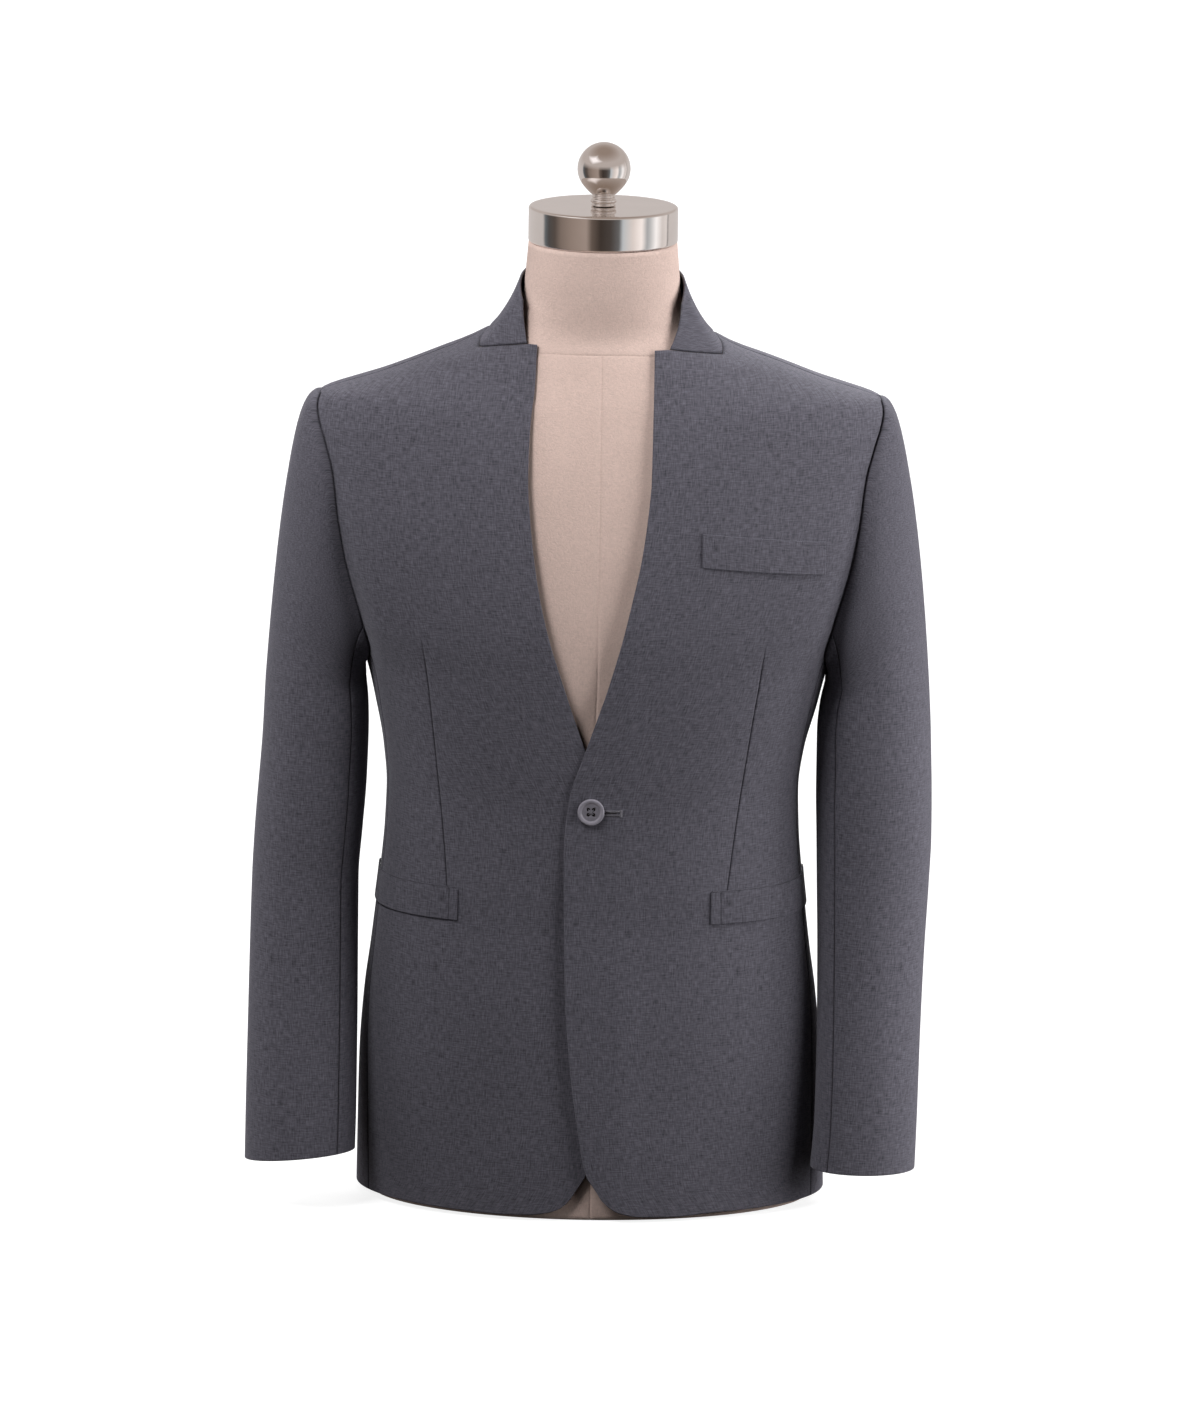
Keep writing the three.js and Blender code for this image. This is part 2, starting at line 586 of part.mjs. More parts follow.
// Collar band: rises from the neck seam of both fronts and the back.
function collarPiece() {
  const curve = Object.fromEntries(
    ["mx", "my", "mz", "tx", "ty", "tz"].map((name) => [name, smooth(COLLAR, "along", name)]),
  );
  const half = (name) => {
    const seam = [...frontNeck(name).slice(1), ...backNeck.slice(1)];
    const side = name === "left" ? 1 : -1;
    const turning = 1 + GORGE_COLUMNS + SHOULDER_COLUMNS - 1;
    return seam.map((cell, i) => {
      const before = i / turning * 0.5;
      const after = 0.5 + (i - turning) / BACK_COLUMNS * 0.5;
      const along = i <= turning ? before : after;
      const low = body.point(cell.angle, cell.z);
      const mid = new THREE.Vector3(curve.mx(along), curve.my(along), curve.mz(along));
      const top = new THREE.Vector3(curve.tx(along), curve.ty(along), curve.tz(along));
      low.add(mid.clone().sub(low).setLength(SEAM));
      const rise = new THREE.QuadraticBezierCurve3(low, mid, top);
      return steps(COLLAR_ROWS).map((t) => rise.getPoint(t).multiply(new THREE.Vector3(side, 1, 1)));
    });
  };
  const lines = [...half("right"), ...half("left").reverse().slice(1)];
  const outer = steps(COLLAR_ROWS).map((_, j) => lines.map((line) => line[j]));
  const normals = gridNormals(outer);
  const outward = normals[2][2].y > 0 ? -1 : 1;
  return wall(outer, offset(outer, normals, -CLOTH * outward));
}

// A welt lies on the outside of the body, cut from the same surface.
function weltPiece(side, cellAt, columns, rows) {
  const surface = steps(rows).map((v) => steps(columns).map((u) => {
    const cell = cellAt(u, v);
    return body.point(cell.angle, cell.z);
  }));
  const normals = surface.map((row) => row.map((p) => body.normal(p)));
  const outer = offset(surface, normals, WELT_LIES + WELT);
  const inner = offset(surface, normals, WELT_LIES);
  const flip = new THREE.Vector3(side, 1, 1);
  outer.flat().forEach((p) => p.multiply(flip));
  inner.flat().forEach((p) => p.multiply(flip));
  return wall(outer, inner);
}

function waistWelt(name) {
  const side = name === "left" ? 1 : -1;
  const cellAt = (u, v) => {
    const z = lerp(WAIST_WELT.low, WAIST_WELT.high, v);
    return { z, angle: lerp(body.angleAtX(WAIST_WELT_FRONT[name], z), WAIST_WELT.end, u) };
  };
  return weltPiece(side, cellAt, WAIST_WELT.columns, WAIST_WELT.rows);
}

function chestWelt() {
  const { inner, outer, columns, rows } = CHEST_WELT;
  const cellAt = (u, v) => {
    const z = lerp(lerp(inner.low, outer.low, u), lerp(inner.high, outer.high, u), v);
    return { z, angle: body.angleAtX(lerp(inner.x, outer.x, u), z) };
  };
  return weltPiece(1, cellAt, columns, rows);
}

function formPiece() {
  const points = [];
  const faces = [];
  FORM_LEVELS.forEach((z) => {
    for (let i = 0; i < FORM_SIDES; i += 1) points.push(form.point(i / FORM_SIDES * 360 - 180, z));
  });
  const rows = FORM_LEVELS.length;
  const at = (j, i) => j * FORM_SIDES + (i % FORM_SIDES);
  for (let j = 0; j < rows - 1; j += 1) {
    for (let i = 0; i < FORM_SIDES; i += 1) {
      faces.push(at(j, i), at(j, i + 1), at(j + 1, i + 1), at(j, i), at(j + 1, i + 1), at(j + 1, i));
    }
  }
  const low = points.push(new THREE.Vector3(0, 0, FORM_LEVELS[0])) - 1;
  const high = points.push(new THREE.Vector3(0, 0, FORM_LEVELS[rows - 1])) - 1;
  for (let i = 0; i < FORM_SIDES; i += 1) {
    faces.push(at(0, i + 1), at(0, i), low, at(rows - 1, i), at(rows - 1, i + 1), high);
  }
  return solid(points, faces);
}

// Round piece on the neck's axis from a list of radius and height.
function turned(profile, sides) {
  const geometry = new THREE.LatheGeometry(profile.map(([r, z]) => new THREE.Vector2(r, z)), sides);
  geometry.rotateX(Math.PI / 2);
  geometry.deleteAttribute("normal");
  geometry.deleteAttribute("uv");
  return mergeVertices(geometry, 1e-4);
}

function capPiece() {
  const { low, high, radius, round } = CAP;
  const corner = (z, from) => [0, 30, 60, 90].map((turn) => {
    const angle = (from + turn) * RAD;
    return [radius - round + round * Math.cos(angle), z + round * Math.sin(angle)];
  });
  return turned([[0, low], ...corner(low + round, -90), ...corner(high - round, 0), [0, high]], 40);
}

function ballPiece() {
  const { z, radius, stem, foot } = BALL;
  const arc = steps(10).map((t) => {
    const angle = lerp(50, 180, t) * RAD;
    return [t === 1 ? 0 : radius * Math.sin(angle), z - radius * Math.cos(angle)];
  });
  const turnings = [[0, foot], [stem - 0.4, foot], [stem - 0.4, foot + 1.8], [stem - 1, foot + 2.2],
    [stem + 0.2, foot + 3.1], [stem + 0.2, foot + 5.7], [stem - 1.1, foot + 6.7],
    [stem - 1.1, foot + 8.7], [stem - 1.3, foot + 9.2]];
  return turned([...turnings, ...arc], 24);
}

function toManifold(geometry) {
  const welded = mergeVertices(geometry, 1e-4);
  const mesh = new wasm.Mesh({
    numProp: 3,
    vertProperties: new Float32Array(welded.attributes.position.array),
    triVerts: new Uint32Array(welded.index.array),
  });
  return new wasm.Manifold(mesh);
}

function fromManifold(manifold) {
  const mesh = manifold.getMesh();
  const geometry = new THREE.BufferGeometry();
  geometry.setAttribute("position", new THREE.Float32BufferAttribute(mesh.vertProperties, 3));
  geometry.setIndex(new THREE.Uint32BufferAttribute(mesh.triVerts, 1));
  return geometry;
}

// Dished button with a rim and four holes, lying flat on the left front.
function buttonPiece() {
  const { x, z, radius, thick, rim, dish, hole, pitch } = BUTTON;
  const profile = [[0, 0], [radius - 1.2, 0], [radius, 1.1], [radius, thick - 0.8],
    [radius - 0.8, thick], [radius - rim, thick], [radius - rim - 1.2, thick - dish], [0, thick - dish]];
  const disc = turned(profile, 32);
  let button = toManifold(disc);
  [[1, 1], [1, -1], [-1, 1], [-1, -1]].forEach(([right, up]) => {
    const drill = wasm.Manifold.cylinder(thick * 3, hole, hole, 12, true);
    button = button.subtract(drill.translate([right * pitch, up * pitch, 0]));
  });
  const geometry = fromManifold(button);
  const onCloth = body.point(body.angleAtX(x, z), z);
  const facing = body.normal(onCloth);
  const seat = onCloth.clone().addScaledVector(facing, LAP + SEAM + 0.25);
  geometry.applyQuaternion(new THREE.Quaternion().setFromUnitVectors(new THREE.Vector3(0, 0, 1), facing));
  geometry.translate(seat.x, seat.y, seat.z);
  return geometry;
}

const sway = smooth(SWAY, "z", "x");
const rise = (value, from, to) => THREE.MathUtils.smoothstep(value, from, to);

// Everything that stands on the form's trunk goes askew with it.
function askew(geometry) {
  const place = geometry.attributes.position;
  for (let i = 0; i < place.count; i += 1) {
    const x = place.getX(i);
    const z = place.getZ(i);
    const beside = rise(x, 15, 75) * (1 - rise(x, 98, 160));
    const high = rise(z, 640, 705) * (1 - rise(z, 730, 780));
    place.setX(i, x + sway(z));
    place.setZ(i, z - NECK_DROP * beside * high);
  }
  return geometry;
}

const FINISH = {
  cloth: { color: 0x4b4a52, roughness: 0.85, metalness: 0 },
  linen: { color: 0xc8b1a4, roughness: 0.9, metalness: 0 },
  metal: { color: 0xc4bfbc, roughness: 0.2, metalness: 1 },
  plastic: { color: 0x55535c, roughness: 0.45, metalness: 0 },
};

const jacket = new THREE.Group();
jacket.name = "suit_jacket_on_form";

function add(name, geometry, finish) {
  const mesh = new THREE.Mesh(geometry, new THREE.MeshStandardMaterial(FINISH[finish]));
  mesh.name = name;
  jacket.add(mesh);
}

const sleeves = { left: sleevePieces("left"), right: sleevePieces("right") };
add("form_torso", askew(formPiece()), "linen");
add("neck_cap", capPiece(), "metal");
add("cap_ball", ballPiece(), "metal");
add("front_left", askew(frontPiece("left")), "cloth");
add("front_right", askew(frontPiece("right")), "cloth");
add("side_left", askew(sidePiece(1)), "cloth");
add("side_right", askew(sidePiece(-1)), "cloth");
add("back_left", askew(backPiece(1)), "cloth");
add("back_right", askew(backPiece(-1)), "cloth");
add("sleeve_top_left", sleeves.left.top, "cloth");
add("sleeve_top_right", sleeves.right.top, "cloth");
add("sleeve_under_left", sleeves.left.under, "cloth");
add("sleeve_under_right", sleeves.right.under, "cloth");
add("collar", askew(collarPiece()), "cloth");
add("welt_chest", askew(chestWelt()), "cloth");
add("welt_waist_left", askew(waistWelt("left")), "cloth");
add("welt_waist_right", askew(waistWelt("right")), "cloth");
add("button", askew(buttonPiece()), "plastic");

export default jacket;
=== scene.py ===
"""Looks of a single-button suit jacket with a stand collar on a limbless dress form.

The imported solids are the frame. Every cloth piece is cut again from the same sizes as a thin
closed shell with rounded edges, seam grooves, darts and soft folds. Tables are in millimetres.
"""

import math

import bpy
import numpy as np
from mathutils import Matrix, Vector


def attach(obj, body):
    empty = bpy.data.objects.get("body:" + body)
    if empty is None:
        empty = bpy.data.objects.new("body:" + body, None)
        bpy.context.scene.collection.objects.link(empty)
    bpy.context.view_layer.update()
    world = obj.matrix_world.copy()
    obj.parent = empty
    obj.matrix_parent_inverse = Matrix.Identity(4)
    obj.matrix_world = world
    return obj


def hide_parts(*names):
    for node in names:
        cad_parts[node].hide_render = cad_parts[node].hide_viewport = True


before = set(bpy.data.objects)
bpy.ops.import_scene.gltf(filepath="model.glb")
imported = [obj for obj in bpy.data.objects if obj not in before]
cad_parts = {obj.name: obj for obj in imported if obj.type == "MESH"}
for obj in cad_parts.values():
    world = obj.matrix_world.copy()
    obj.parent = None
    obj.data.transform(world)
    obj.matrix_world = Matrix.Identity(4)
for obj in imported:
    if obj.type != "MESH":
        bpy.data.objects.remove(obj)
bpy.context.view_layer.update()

bl_info = {
    "name": "Suit jacket on dress form",
    "version": (1, 0, 0),
    "blender": (4, 5, 0),
    "location": "View3D > Sidebar > Jacket",
    "description": "Makes the cloth, form, fittings and stage of a single-button suit jacket",
    "category": "Add Mesh",
}

MM = 0.001
SIDES = {"left": 1, "right": -1}
SEAM = 0.3                  # space between two pieces at a seam
# How far each front moves out or in where the fronts lie over each other, and where that fades.
LAP, LAP_FADE = 1.35, (22, 48)
# How far the lower part of each front stands out, whole up to the first place and none at the second.
LOWER_FRONT = {"left": (0.9, -5, 60), "right": (-3.5, 6, 66)}
SIDE_SWELL = {"left": 1.6, "right": 0}      # how far each side panel swells under the arm
SEAM_ROUND, NECK_ROUND = 0.4, 0.6           # radius of a sewn edge inside, and at the neck
SEAM_SHADE, SEAM_LINE = 0.7, 0.8            # darkness and half width of the line of painted shade along a seam
THREAD_PITCH = 0.62

# Cross sections of the jacket's body: height, half width, front depth, back depth, squareness.
BODY = (
    (0, 193, 139, 136, 2.0), (60, 192, 136, 138, 2.02), (120, 190, 132, 138, 2.1),
    (170, 186, 128, 134, 2.2), (207, 181, 124.5, 127, 2.32), (245, 176.5, 121, 119, 2.42),
    (272, 173.5, 120, 113, 2.5), (308, 170.5, 119, 107, 2.5), (341, 169.5, 119.5, 105, 2.45),
    (375, 173, 122, 107, 2.4), (408, 180, 125, 112, 2.35), (444, 190, 128, 119, 2.3),
    (484, 212, 130, 127, 2.25), (540, 238, 126, 133, 2.15), (590, 251, 117, 133, 2.06),
    (620, 252, 109, 128, 2.02), (640, 249.5, 102, 122.5, 2.0), (655, 243, 96, 117, 2.0),
    (662, 237, 93, 114, 2.0), (668, 228, 90, 111, 2.0), (674, 210, 87.2, 108, 2.01),
    (681, 187, 84, 104.5, 2.03), (690, 162.5, 79.5, 98.5, 2.05), (700, 137.5, 75, 92, 2.05),
    (711, 110.5, 69.5, 83, 2.02), (721, 92, 64.8, 76.5, 2.0),
)
# The form's own cross sections.
FORM = (
    (0, 182, 128, 127, 2.0), (60, 181, 126, 127, 2.02), (120, 179, 122, 127, 2.1),
    (207, 170, 114.5, 116, 2.35), (272, 162.5, 110, 102, 2.5), (341, 158, 109.5, 95, 2.45),
    (375, 161, 112, 97, 2.4), (408, 168, 115, 102, 2.35), (444, 178, 119, 110, 2.3),
    (484, 184, 121, 119, 2.3), (540, 192, 118, 126, 2.3), (590, 200, 110, 126, 2.25),
    (636, 206, 97.5, 117.5, 2.2), (655, 205, 90.8, 111.5, 2.15), (668, 199.5, 86, 107, 2.1),
    (676, 188.5, 82.5, 103, 2.05), (681, 178, 80.3, 100.8, 2.03), (690, 155.6, 76, 95, 2.02),
    (700, 130.6, 71.5, 88.4, 2.02), (711, 103.6, 66, 79.6, 2.0), (721, 85.6, 61.3, 72.8, 2.0),
    (728, 76.5, 60.8, 69.5, 2.0), (736, 71, 61.3, 67.2, 2.0), (750, 65, 62.5, 65.2, 2.0),
    (765, 63.3, 62.8, 63.6, 2.0), (792.5, 61, 61, 61, 2.0),
)
# Front edges of the two fronts: height, sideways place of the left and of the right one.
FRONT_EDGE = (
    (19, 9.9, -16), (29, 3.7, -9.2), (39, -2.7, -2.9), (69, -8.5, 2.5), (118, -14.9, 9),
    (184, -19.9, 14), (266, -21.9, 16), (308, -22.5, 16.5), (350, -18.8, 11), (388, -7.7, -6),
    (417, 1.3, -17.3), (451, 11.5, -29.4), (484, 20.7, -39.6), (517, 28.4, -47.4),
    (549, 35.2, -52.6), (581, 39.7, -56.3), (612, 42.5, -58.4), (636, 42.9, -58),
    (660, 43.2, -56.7), (685, 43.5, -53.9), (716.2, 43.7, -52.8),
)
CORNER_LEVEL = 19
# Lower edge of the fronts: distance from the round corner, height on the left and on the right.
FRONT_HEM = (
    (0, 19, 19), (6, 13.2, 12.6), (14, 8.6, 8.4), (32, 4.8, 5.2), (60, 4.2, 4.2),
    (95, 6, 4.6), (190, 6, 6),
)
HEM = 6
# Neck end of a front: free corner, front of the collar, gorge corner, as sideways place and height.
NECK = {
    "left": ((43.9, 714.4), (55.9, 715.2), (99.4, 709.4)),
    "right": ((52.8, 716.2), (61.1, 716.2), (100.7, 709.9)),
}
NECK_POINT, NECK_BACK = 721, 712
ARM_TOP, ARM_LOW = 668, 444
# Armhole: turn from the shoulder tip, depth before and behind it.
ARMHOLE = (
    (0, 0, 0), (22.5, 24, 26), (45, 45, 49.5), (62, 57, 63), (78, 63.5, 69.5), (92, 66, 72),
    (106, 66.5, 72.5), (120, 65, 71), (134, 60.5, 66), (146, 54, 57.5), (157, 44, 46),
    (168.5, 26, 27), (180, 0, 0),
)
JOIN_TURN = 157             # where the side panel's seams meet the armhole
# Seams beside the side panel: height, angle of the front and of the back one.
SIDE_SEAMS = (
    (6, 71, 112), (120, 74.5, 110), (207, 79, 108.5), (272, 81, 108), (341, 81, 108),
    (400, 77, 109),
)
# Sleeves: height, outer and inner side of the left, of the right, centre line, half depth.
SLEEVE = (
    (35, 267, 181, 284.3, 193.5, -71, 45), (76, 268.4, 184, 284.1, 193, -62, 46.5),
    (143, 270.1, 185, 283.4, 193, -46, 49), (210, 272.6, 184.5, 282.6, 193.5, -30, 51.5),
    (265, 275.6, 183.3, 281.6, 193.8, -20, 53.7), (305, 277.2, 182.4, 279.8, 191, -15, 55.5),
    (344, 277.2, 181.5, 277.2, 188.2, -11.5, 57), (390, 275.6, 181.6, 274.4, 187, -8, 59.5),
    (411, 274.5, 183.4, 273.3, 187.6, -6, 60.7), (430, 273.4, 187.5, 272.4, 189.6, -4, 62),
)
SLEEVE_TOP, SLEEVE_LOW = 430, 35
# Fullness of each sleeve head, then the cuff's lift: whole end, front, inner side.
CUFF = {"left": (0.78, 1.5, 1.5, 0), "right": (1, 2, 3.5, 9)}
CUFF_REACH = 90
# How a sleeve leaves the armhole: turn, out, forward, up, height of its straight part.
HEAD = ((0, 20, 0, 3, 170), (45, 18, 7, 1, 120), (90, 13, 6, -6, 62), (135, 6, 3, -8, 25),
        (180, 1.5, 0, -4, 6))
# Turns where each sleeve piece starts and stops, and its count of columns.
SLEEVE_CUTS = {"top": (-120, 134, 52), "under": (134, 240, 24)}
HEAD_ROWS = (0, 0.003, 0.008, 0.016, 0.028, 0.045, 0.07, 0.1, 0.14, 0.18, 0.23, 0.28, 0.34, 0.4,
             0.46, 0.52, 0.58, 0.64, 0.7, 0.76, 0.82, 0.88, 0.94, 1)
# How deep the armhole seam lies in the crease between body and sleeve, by turn.
CREASE = ((0, 0), (30, 0.3), (60, 2.6), (92, 6), (120, 8.5), (146, 8.5), (165, 4), (180, 0))
CREASE_REACH = 11
TAPE_REACH, TAPE_DEPTHS = (-7, 5), (2.35, 3.0)      # across the armhole seam, and under it
# Sideways sway of everything on the trunk, and the lower neck on the form's left.
SWAY = ((0, 0), (60, -0.6), (130, -1.8), (250, -2.6), (340, -2.4), (400, -1.2), (440, 0))
NECK_DROP = 2.4
# Collar from its front end to the centre back: share, middle of the band, top of the band.
COLLAR = (
    (0, 64.5, -43.5, 731, 66.3, -35, 749), (0.17, 73, -37, 727, 67.6, -25, 755),
    (0.33, 81, -28, 728, 68, -15, 760), (0.5, 74.5, 0, 740, 66.8, 0, 765.5),
    (0.67, 62, 37, 740, 59, 36, 767.5), (0.83, 36, 64, 739, 33, 59.5, 768),
    (1, 0, 74, 738, 0, 69, 768),
)
WELT, WELT_LIES = 1.2, 0.4  # thickness of a pocket welt and the space under it
WAIST_WELT = {"left": 98.3, "right": 108.5}
WAIST_WELT_LOW, WAIST_WELT_HIGH, WAIST_WELT_END, WELT_CORNER = 245, 272.6, 95, 2.4
CHEST_WELT = ((84.6, 543.4, 570.8), (184.8, 533, 560.6))
# Darts: sideways place at each height.
DARTS = {
    "left": ((262, 110.6), (274, 112.1), (330.5, 118.9), (370, 124), (418, 129.8), (484, 138.7)),
    "right": ((262, 117.4), (274.5, 118.2), (326, 122.7), (365.5, 127.6), (433, 137.1), (485, 144.9)),
}
BUTTON_X, BUTTON_Z, BUTTON_RADIUS = -0.9, 340.2, 11
BUTTON_THICK, BUTTON_RIM, BUTTON_DISH, HOLE_RADIUS, HOLE_PITCH = 3.2, 2.6, 0.9, 1.4, 2.15
BUTTONHOLE = (4.0, 24.8)    # sideways place of its two ends
FORM_SEAM = 709             # height of the form's neck seam
FLOOR_GAP = 0.2
CAP_LOW, CAP_HIGH, CAP_RADIUS = 792.8, 822.3, 61.3
BALL_Z, BALL_RADIUS, BALL_FOOT, BALL_STEM = 853.2, 21.8, 822.6, 10.7

# Soft folds of the body's pieces: start and end as sideways place and height, width, height of fold.
BODY_FOLDS = {
    "front_left": (
        (24, 330, 118, 316, 17, -0.55), (20, 352, 96, 380, 16, 0.4), (150, 560, 128, 470, 18, -0.5),
        (60, 250, 52, 60, 26, -0.6), (118, 235, 128, 20, 22, 0.6), (100, 700, 190, 655, 20, -0.4),
    ),
    "front_right": (
        (22, 336, 112, 322, 18, -0.6), (26, 356, 104, 392, 17, 0.45), (158, 566, 134, 476, 18, -0.55),
        (40, 240, 62, 40, 24, -0.6), (112, 230, 136, 20, 22, 0.55), (104, 700, 196, 652, 20, -0.45),
    ),
    "back_left": (
        (40, 690, 180, 640, 18, -0.6), (195, 560, 150, 430, 20, -0.9), (170, 540, 120, 400, 18, 0.7),
        (20, 350, 120, 330, 18, -0.8), (60, 230, 70, 20, 26, -0.8), (130, 250, 140, 15, 22, 0.8),
    ),
    "back_right": (
        (44, 690, 184, 636, 18, -0.6), (198, 566, 146, 436, 20, -0.9), (166, 546, 116, 396, 18, 0.7),
        (16, 346, 124, 334, 18, -0.85), (54, 220, 74, 20, 26, -0.8), (126, 246, 144, 15, 22, 0.85),
    ),
}
# Soft folds of the sleeves: start and end as turn and height, width, height of fold.
SLEEVE_FOLDS = {
    "left": (
        (40, 470, 130, 420, 13, -0.7), (60, 400, 150, 350, 15, -0.8), (30, 380, 110, 330, 14, 0.6),
        (50, 300, 120, 250, 16, -0.6), (-60, 420, 20, 330, 18, -0.5), (70, 200, 100, 60, 14, -0.5),
        (230, 380, 320, 330, 14, -0.8), (240, 330, 330, 280, 14, 0.6),
    ),
    "right": (
        (45, 464, 135, 410, 13, -0.75), (55, 392, 145, 340, 15, -0.8), (35, 370, 120, 316, 14, 0.6),
        (60, 290, 128, 246, 16, -0.65), (-50, 430, 26, 340, 18, -0.5), (62, 210, 96, 70, 14, -0.5),
        (232, 384, 318, 330, 14, -0.8), (238, 326, 326, 276, 14, 0.6),
    ),
}

# Distances from an edge, or beside a line, at which rows or columns stand close.
FREE_EDGE = (0, 0.06, 0.18, 0.36, 0.6, 0.95, 1.5, 2.5, 4.3, 7.5, 12)
SEAM_EDGE = (0.15, 0.25, 0.45, 0.8, 1.3, 2.0, 3.2, 5.5, 9)
BESIDE_LINE = (-7, -4, -2.2, -1.3, -0.8, -0.4, 0, 0.4, 0.8, 1.3, 2.2, 4, 7)
WELT_STEPS = (0, 0.05, 0.15, 0.3, 0.5, 0.8, 1.2, 2)
# Stretches of the fronts' and backs' rows above the waist: height, step.
UPPER_STOPS = ((429, 5), (452.9, 4), (640, 2.4), (668, 2), (709, 2))


def curve(rows, column):
    """Smooth curve through two columns of a table, with no overshoot between its rows."""
    table = np.array(rows, float)
    xs, ys = table[:, 0], table[:, column]
    wide, slope = np.diff(xs), np.diff(ys) / np.diff(xs)
    tangent = np.zeros_like(ys)
    tangent[0], tangent[-1] = slope[0], slope[-1]
    one, two = 2 * wide[1:] + wide[:-1], wide[1:] + 2 * wide[:-1]
    same = slope[:-1] * slope[1:] > 0
    before, after = np.where(same, slope[:-1], 1), np.where(same, slope[1:], 1)
    tangent[1:-1] = np.where(same, (one + two) / (one / before + two / after), 0)

    def at(value):
        x = np.clip(value, xs[0], xs[-1])
        i = np.clip(np.searchsorted(xs, x, side="right") - 1, 0, len(xs) - 2)
        t = (x - xs[i]) / wide[i]
        ends = t * (1 - t) ** 2 * tangent[i] + t * t * (t - 1) * tangent[i + 1]
        return ys[i] + (ys[i + 1] - ys[i]) * t * t * (3 - 2 * t) + ends * wide[i]

    return at


def smoothstep(value, low, high):
    t = np.clip((value - low) / (high - low), 0, 1)
    return t * t * (3 - 2 * t)


def lerp(a, b, t):
    return a + (b - a) * t


class Shell:
    """Rounded cross sections stacked up the trunk."""

    def __init__(self, rows):
        self.half, self.front, self.back, self.square = (curve(rows, i) for i in (1, 2, 3, 4))

    def point(self, angle, z):
        """Point at an angle from the centre front and a height."""
        power = 2 / self.square(z)
        s, c = np.sin(np.radians(angle)), np.cos(np.radians(angle))
        deep = np.where(c > 0, self.front(z), self.back(z))
        x = self.half(z) * np.sign(s) * np.abs(s) ** power
        y = -deep * np.sign(c) * np.abs(c) ** power
        return np.stack(np.broadcast_arrays(x, y, z), -1).astype(float)

    def value(self, x, y, z):
        deep = np.where(y < 0, self.front(z), self.back(z))
        return np.abs(x / self.half(z)) ** self.square(z) + np.abs(y / deep) ** self.square(z)

    def normal(self, p):
        """Direction straight out of the surface at its points."""
        x, y, z = p[..., 0], p[..., 1], p[..., 2]
        n, half = self.square(z), self.half(z)
        deep = np.where(y < 0, self.front(z), self.back(z))
        gx = n / half * np.sign(x) * np.abs(x / half) ** (n - 1)
        gy = n / deep * np.sign(y) * np.abs(y / deep) ** (n - 1)
        gz = self.value(x, y, z + 0.5) - self.value(x, y, z - 0.5)
        return unit(np.stack([gx, gy, gz], -1))

    def angle_at_x(self, x, z):
        share = np.minimum(np.abs(x) / self.half(z), 1)
        return np.sign(x) * np.degrees(np.arcsin(share ** (self.square(z) / 2)))

    def angle_at_depth(self, depth, z, behind):
        deep = np.where(behind, self.back(z), self.front(z))
        angle = np.degrees(np.arccos(np.minimum(depth / deep, 1) ** (self.square(z) / 2)))
        return np.where(behind, 180 - angle, angle)


def unit(v):
    return v / np.maximum(np.linalg.norm(v, axis=-1, keepdims=True), 1e-12)


BODY_SHELL, FORM_SHELL = Shell(BODY), Shell(FORM)
ARM_DEPTH = {False: curve(ARMHOLE, 1), True: curve(ARMHOLE, 2)}
ARM_MIDDLE, ARM_HALF = (ARM_TOP + ARM_LOW) / 2, (ARM_TOP - ARM_LOW) / 2
SWAY_AT = curve(SWAY, 1)


def from_tip(turn):
    """Turn from the shoulder tip by the shorter way, and whether that lies behind."""
    turn = np.mod(turn, 360)
    behind = turn > 180
    return np.where(behind, 360 - turn, turn), behind


def arm_cell(turn):
    """Angle and height of the armhole at a turn from the shoulder tip, over the front first."""
    short, behind = from_tip(turn)
    z = ARM_MIDDLE + ARM_HALF * np.cos(np.radians(short))
    depth = np.where(behind, ARM_DEPTH[True](short), ARM_DEPTH[False](short))
    return BODY_SHELL.angle_at_depth(depth, z, behind), z


def side_edge(level, behind):
    """Angle of a front's or back's outer edge: side seam, armhole, then the shoulder's ridge."""
    level = np.asarray(level, float)
    column = 2 if behind else 1
    join = 360 - JOIN_TURN if behind else JOIN_TURN
    join_angle, join_z = (float(v) for v in arm_cell(join))
    seam = [(row[0], row[column]) for row in SIDE_SEAMS] + [(join_z, join_angle)]
    turn = np.degrees(np.arccos(np.clip((level - ARM_MIDDLE) / ARM_HALF, -1, 1)))
    arm, _ = arm_cell(360 - turn if behind else turn)
    return np.select([level <= join_z, level < ARM_TOP], [curve(seam, 1)(level), arm], 90.0)


def side_cells(behind):
    """A front's or back's outer edge as a function from heights to angles and heights."""
    return lambda level: (side_edge(level, behind), level.astype(float))


def front_cell(x, z):
    """Angle and height of a sideways place and a height on the body's front."""
    return BODY_SHELL.angle_at_x(x, z), z


def creased(p):
    """Draws cloth beside the armhole seam back into the crease, from the front and from behind."""
    turn = np.arange(360.0)
    seam = BODY_SHELL.point(*arm_cell(turn))
    short, behind = from_tip(turn)
    depth = curve(CREASE, 1)(short) * np.where(behind, -1, 1)
    flat = p.reshape(-1, 3)
    away = ((flat[:, None] - seam[None]) ** 2).sum(-1)
    nearest = away.argmin(1)
    reach = np.exp(-away[np.arange(len(flat)), nearest] / CREASE_REACH ** 2)
    out = flat.copy()
    out[:, 1] += depth[nearest] * reach
    return out.reshape(p.shape)


def askew(p):
    """Everything on the trunk goes a little askew with the form."""
    x, z = p[..., 0], p[..., 2]
    beside = smoothstep(x, 15, 75) * (1 - smoothstep(x, 98, 160))
    high = smoothstep(z, 640, 705) * (1 - smoothstep(z, 730, 780))
    out = p.copy()
    out[..., 0] = x + SWAY_AT(z)
    out[..., 2] = z - NECK_DROP * beside * high
    return out


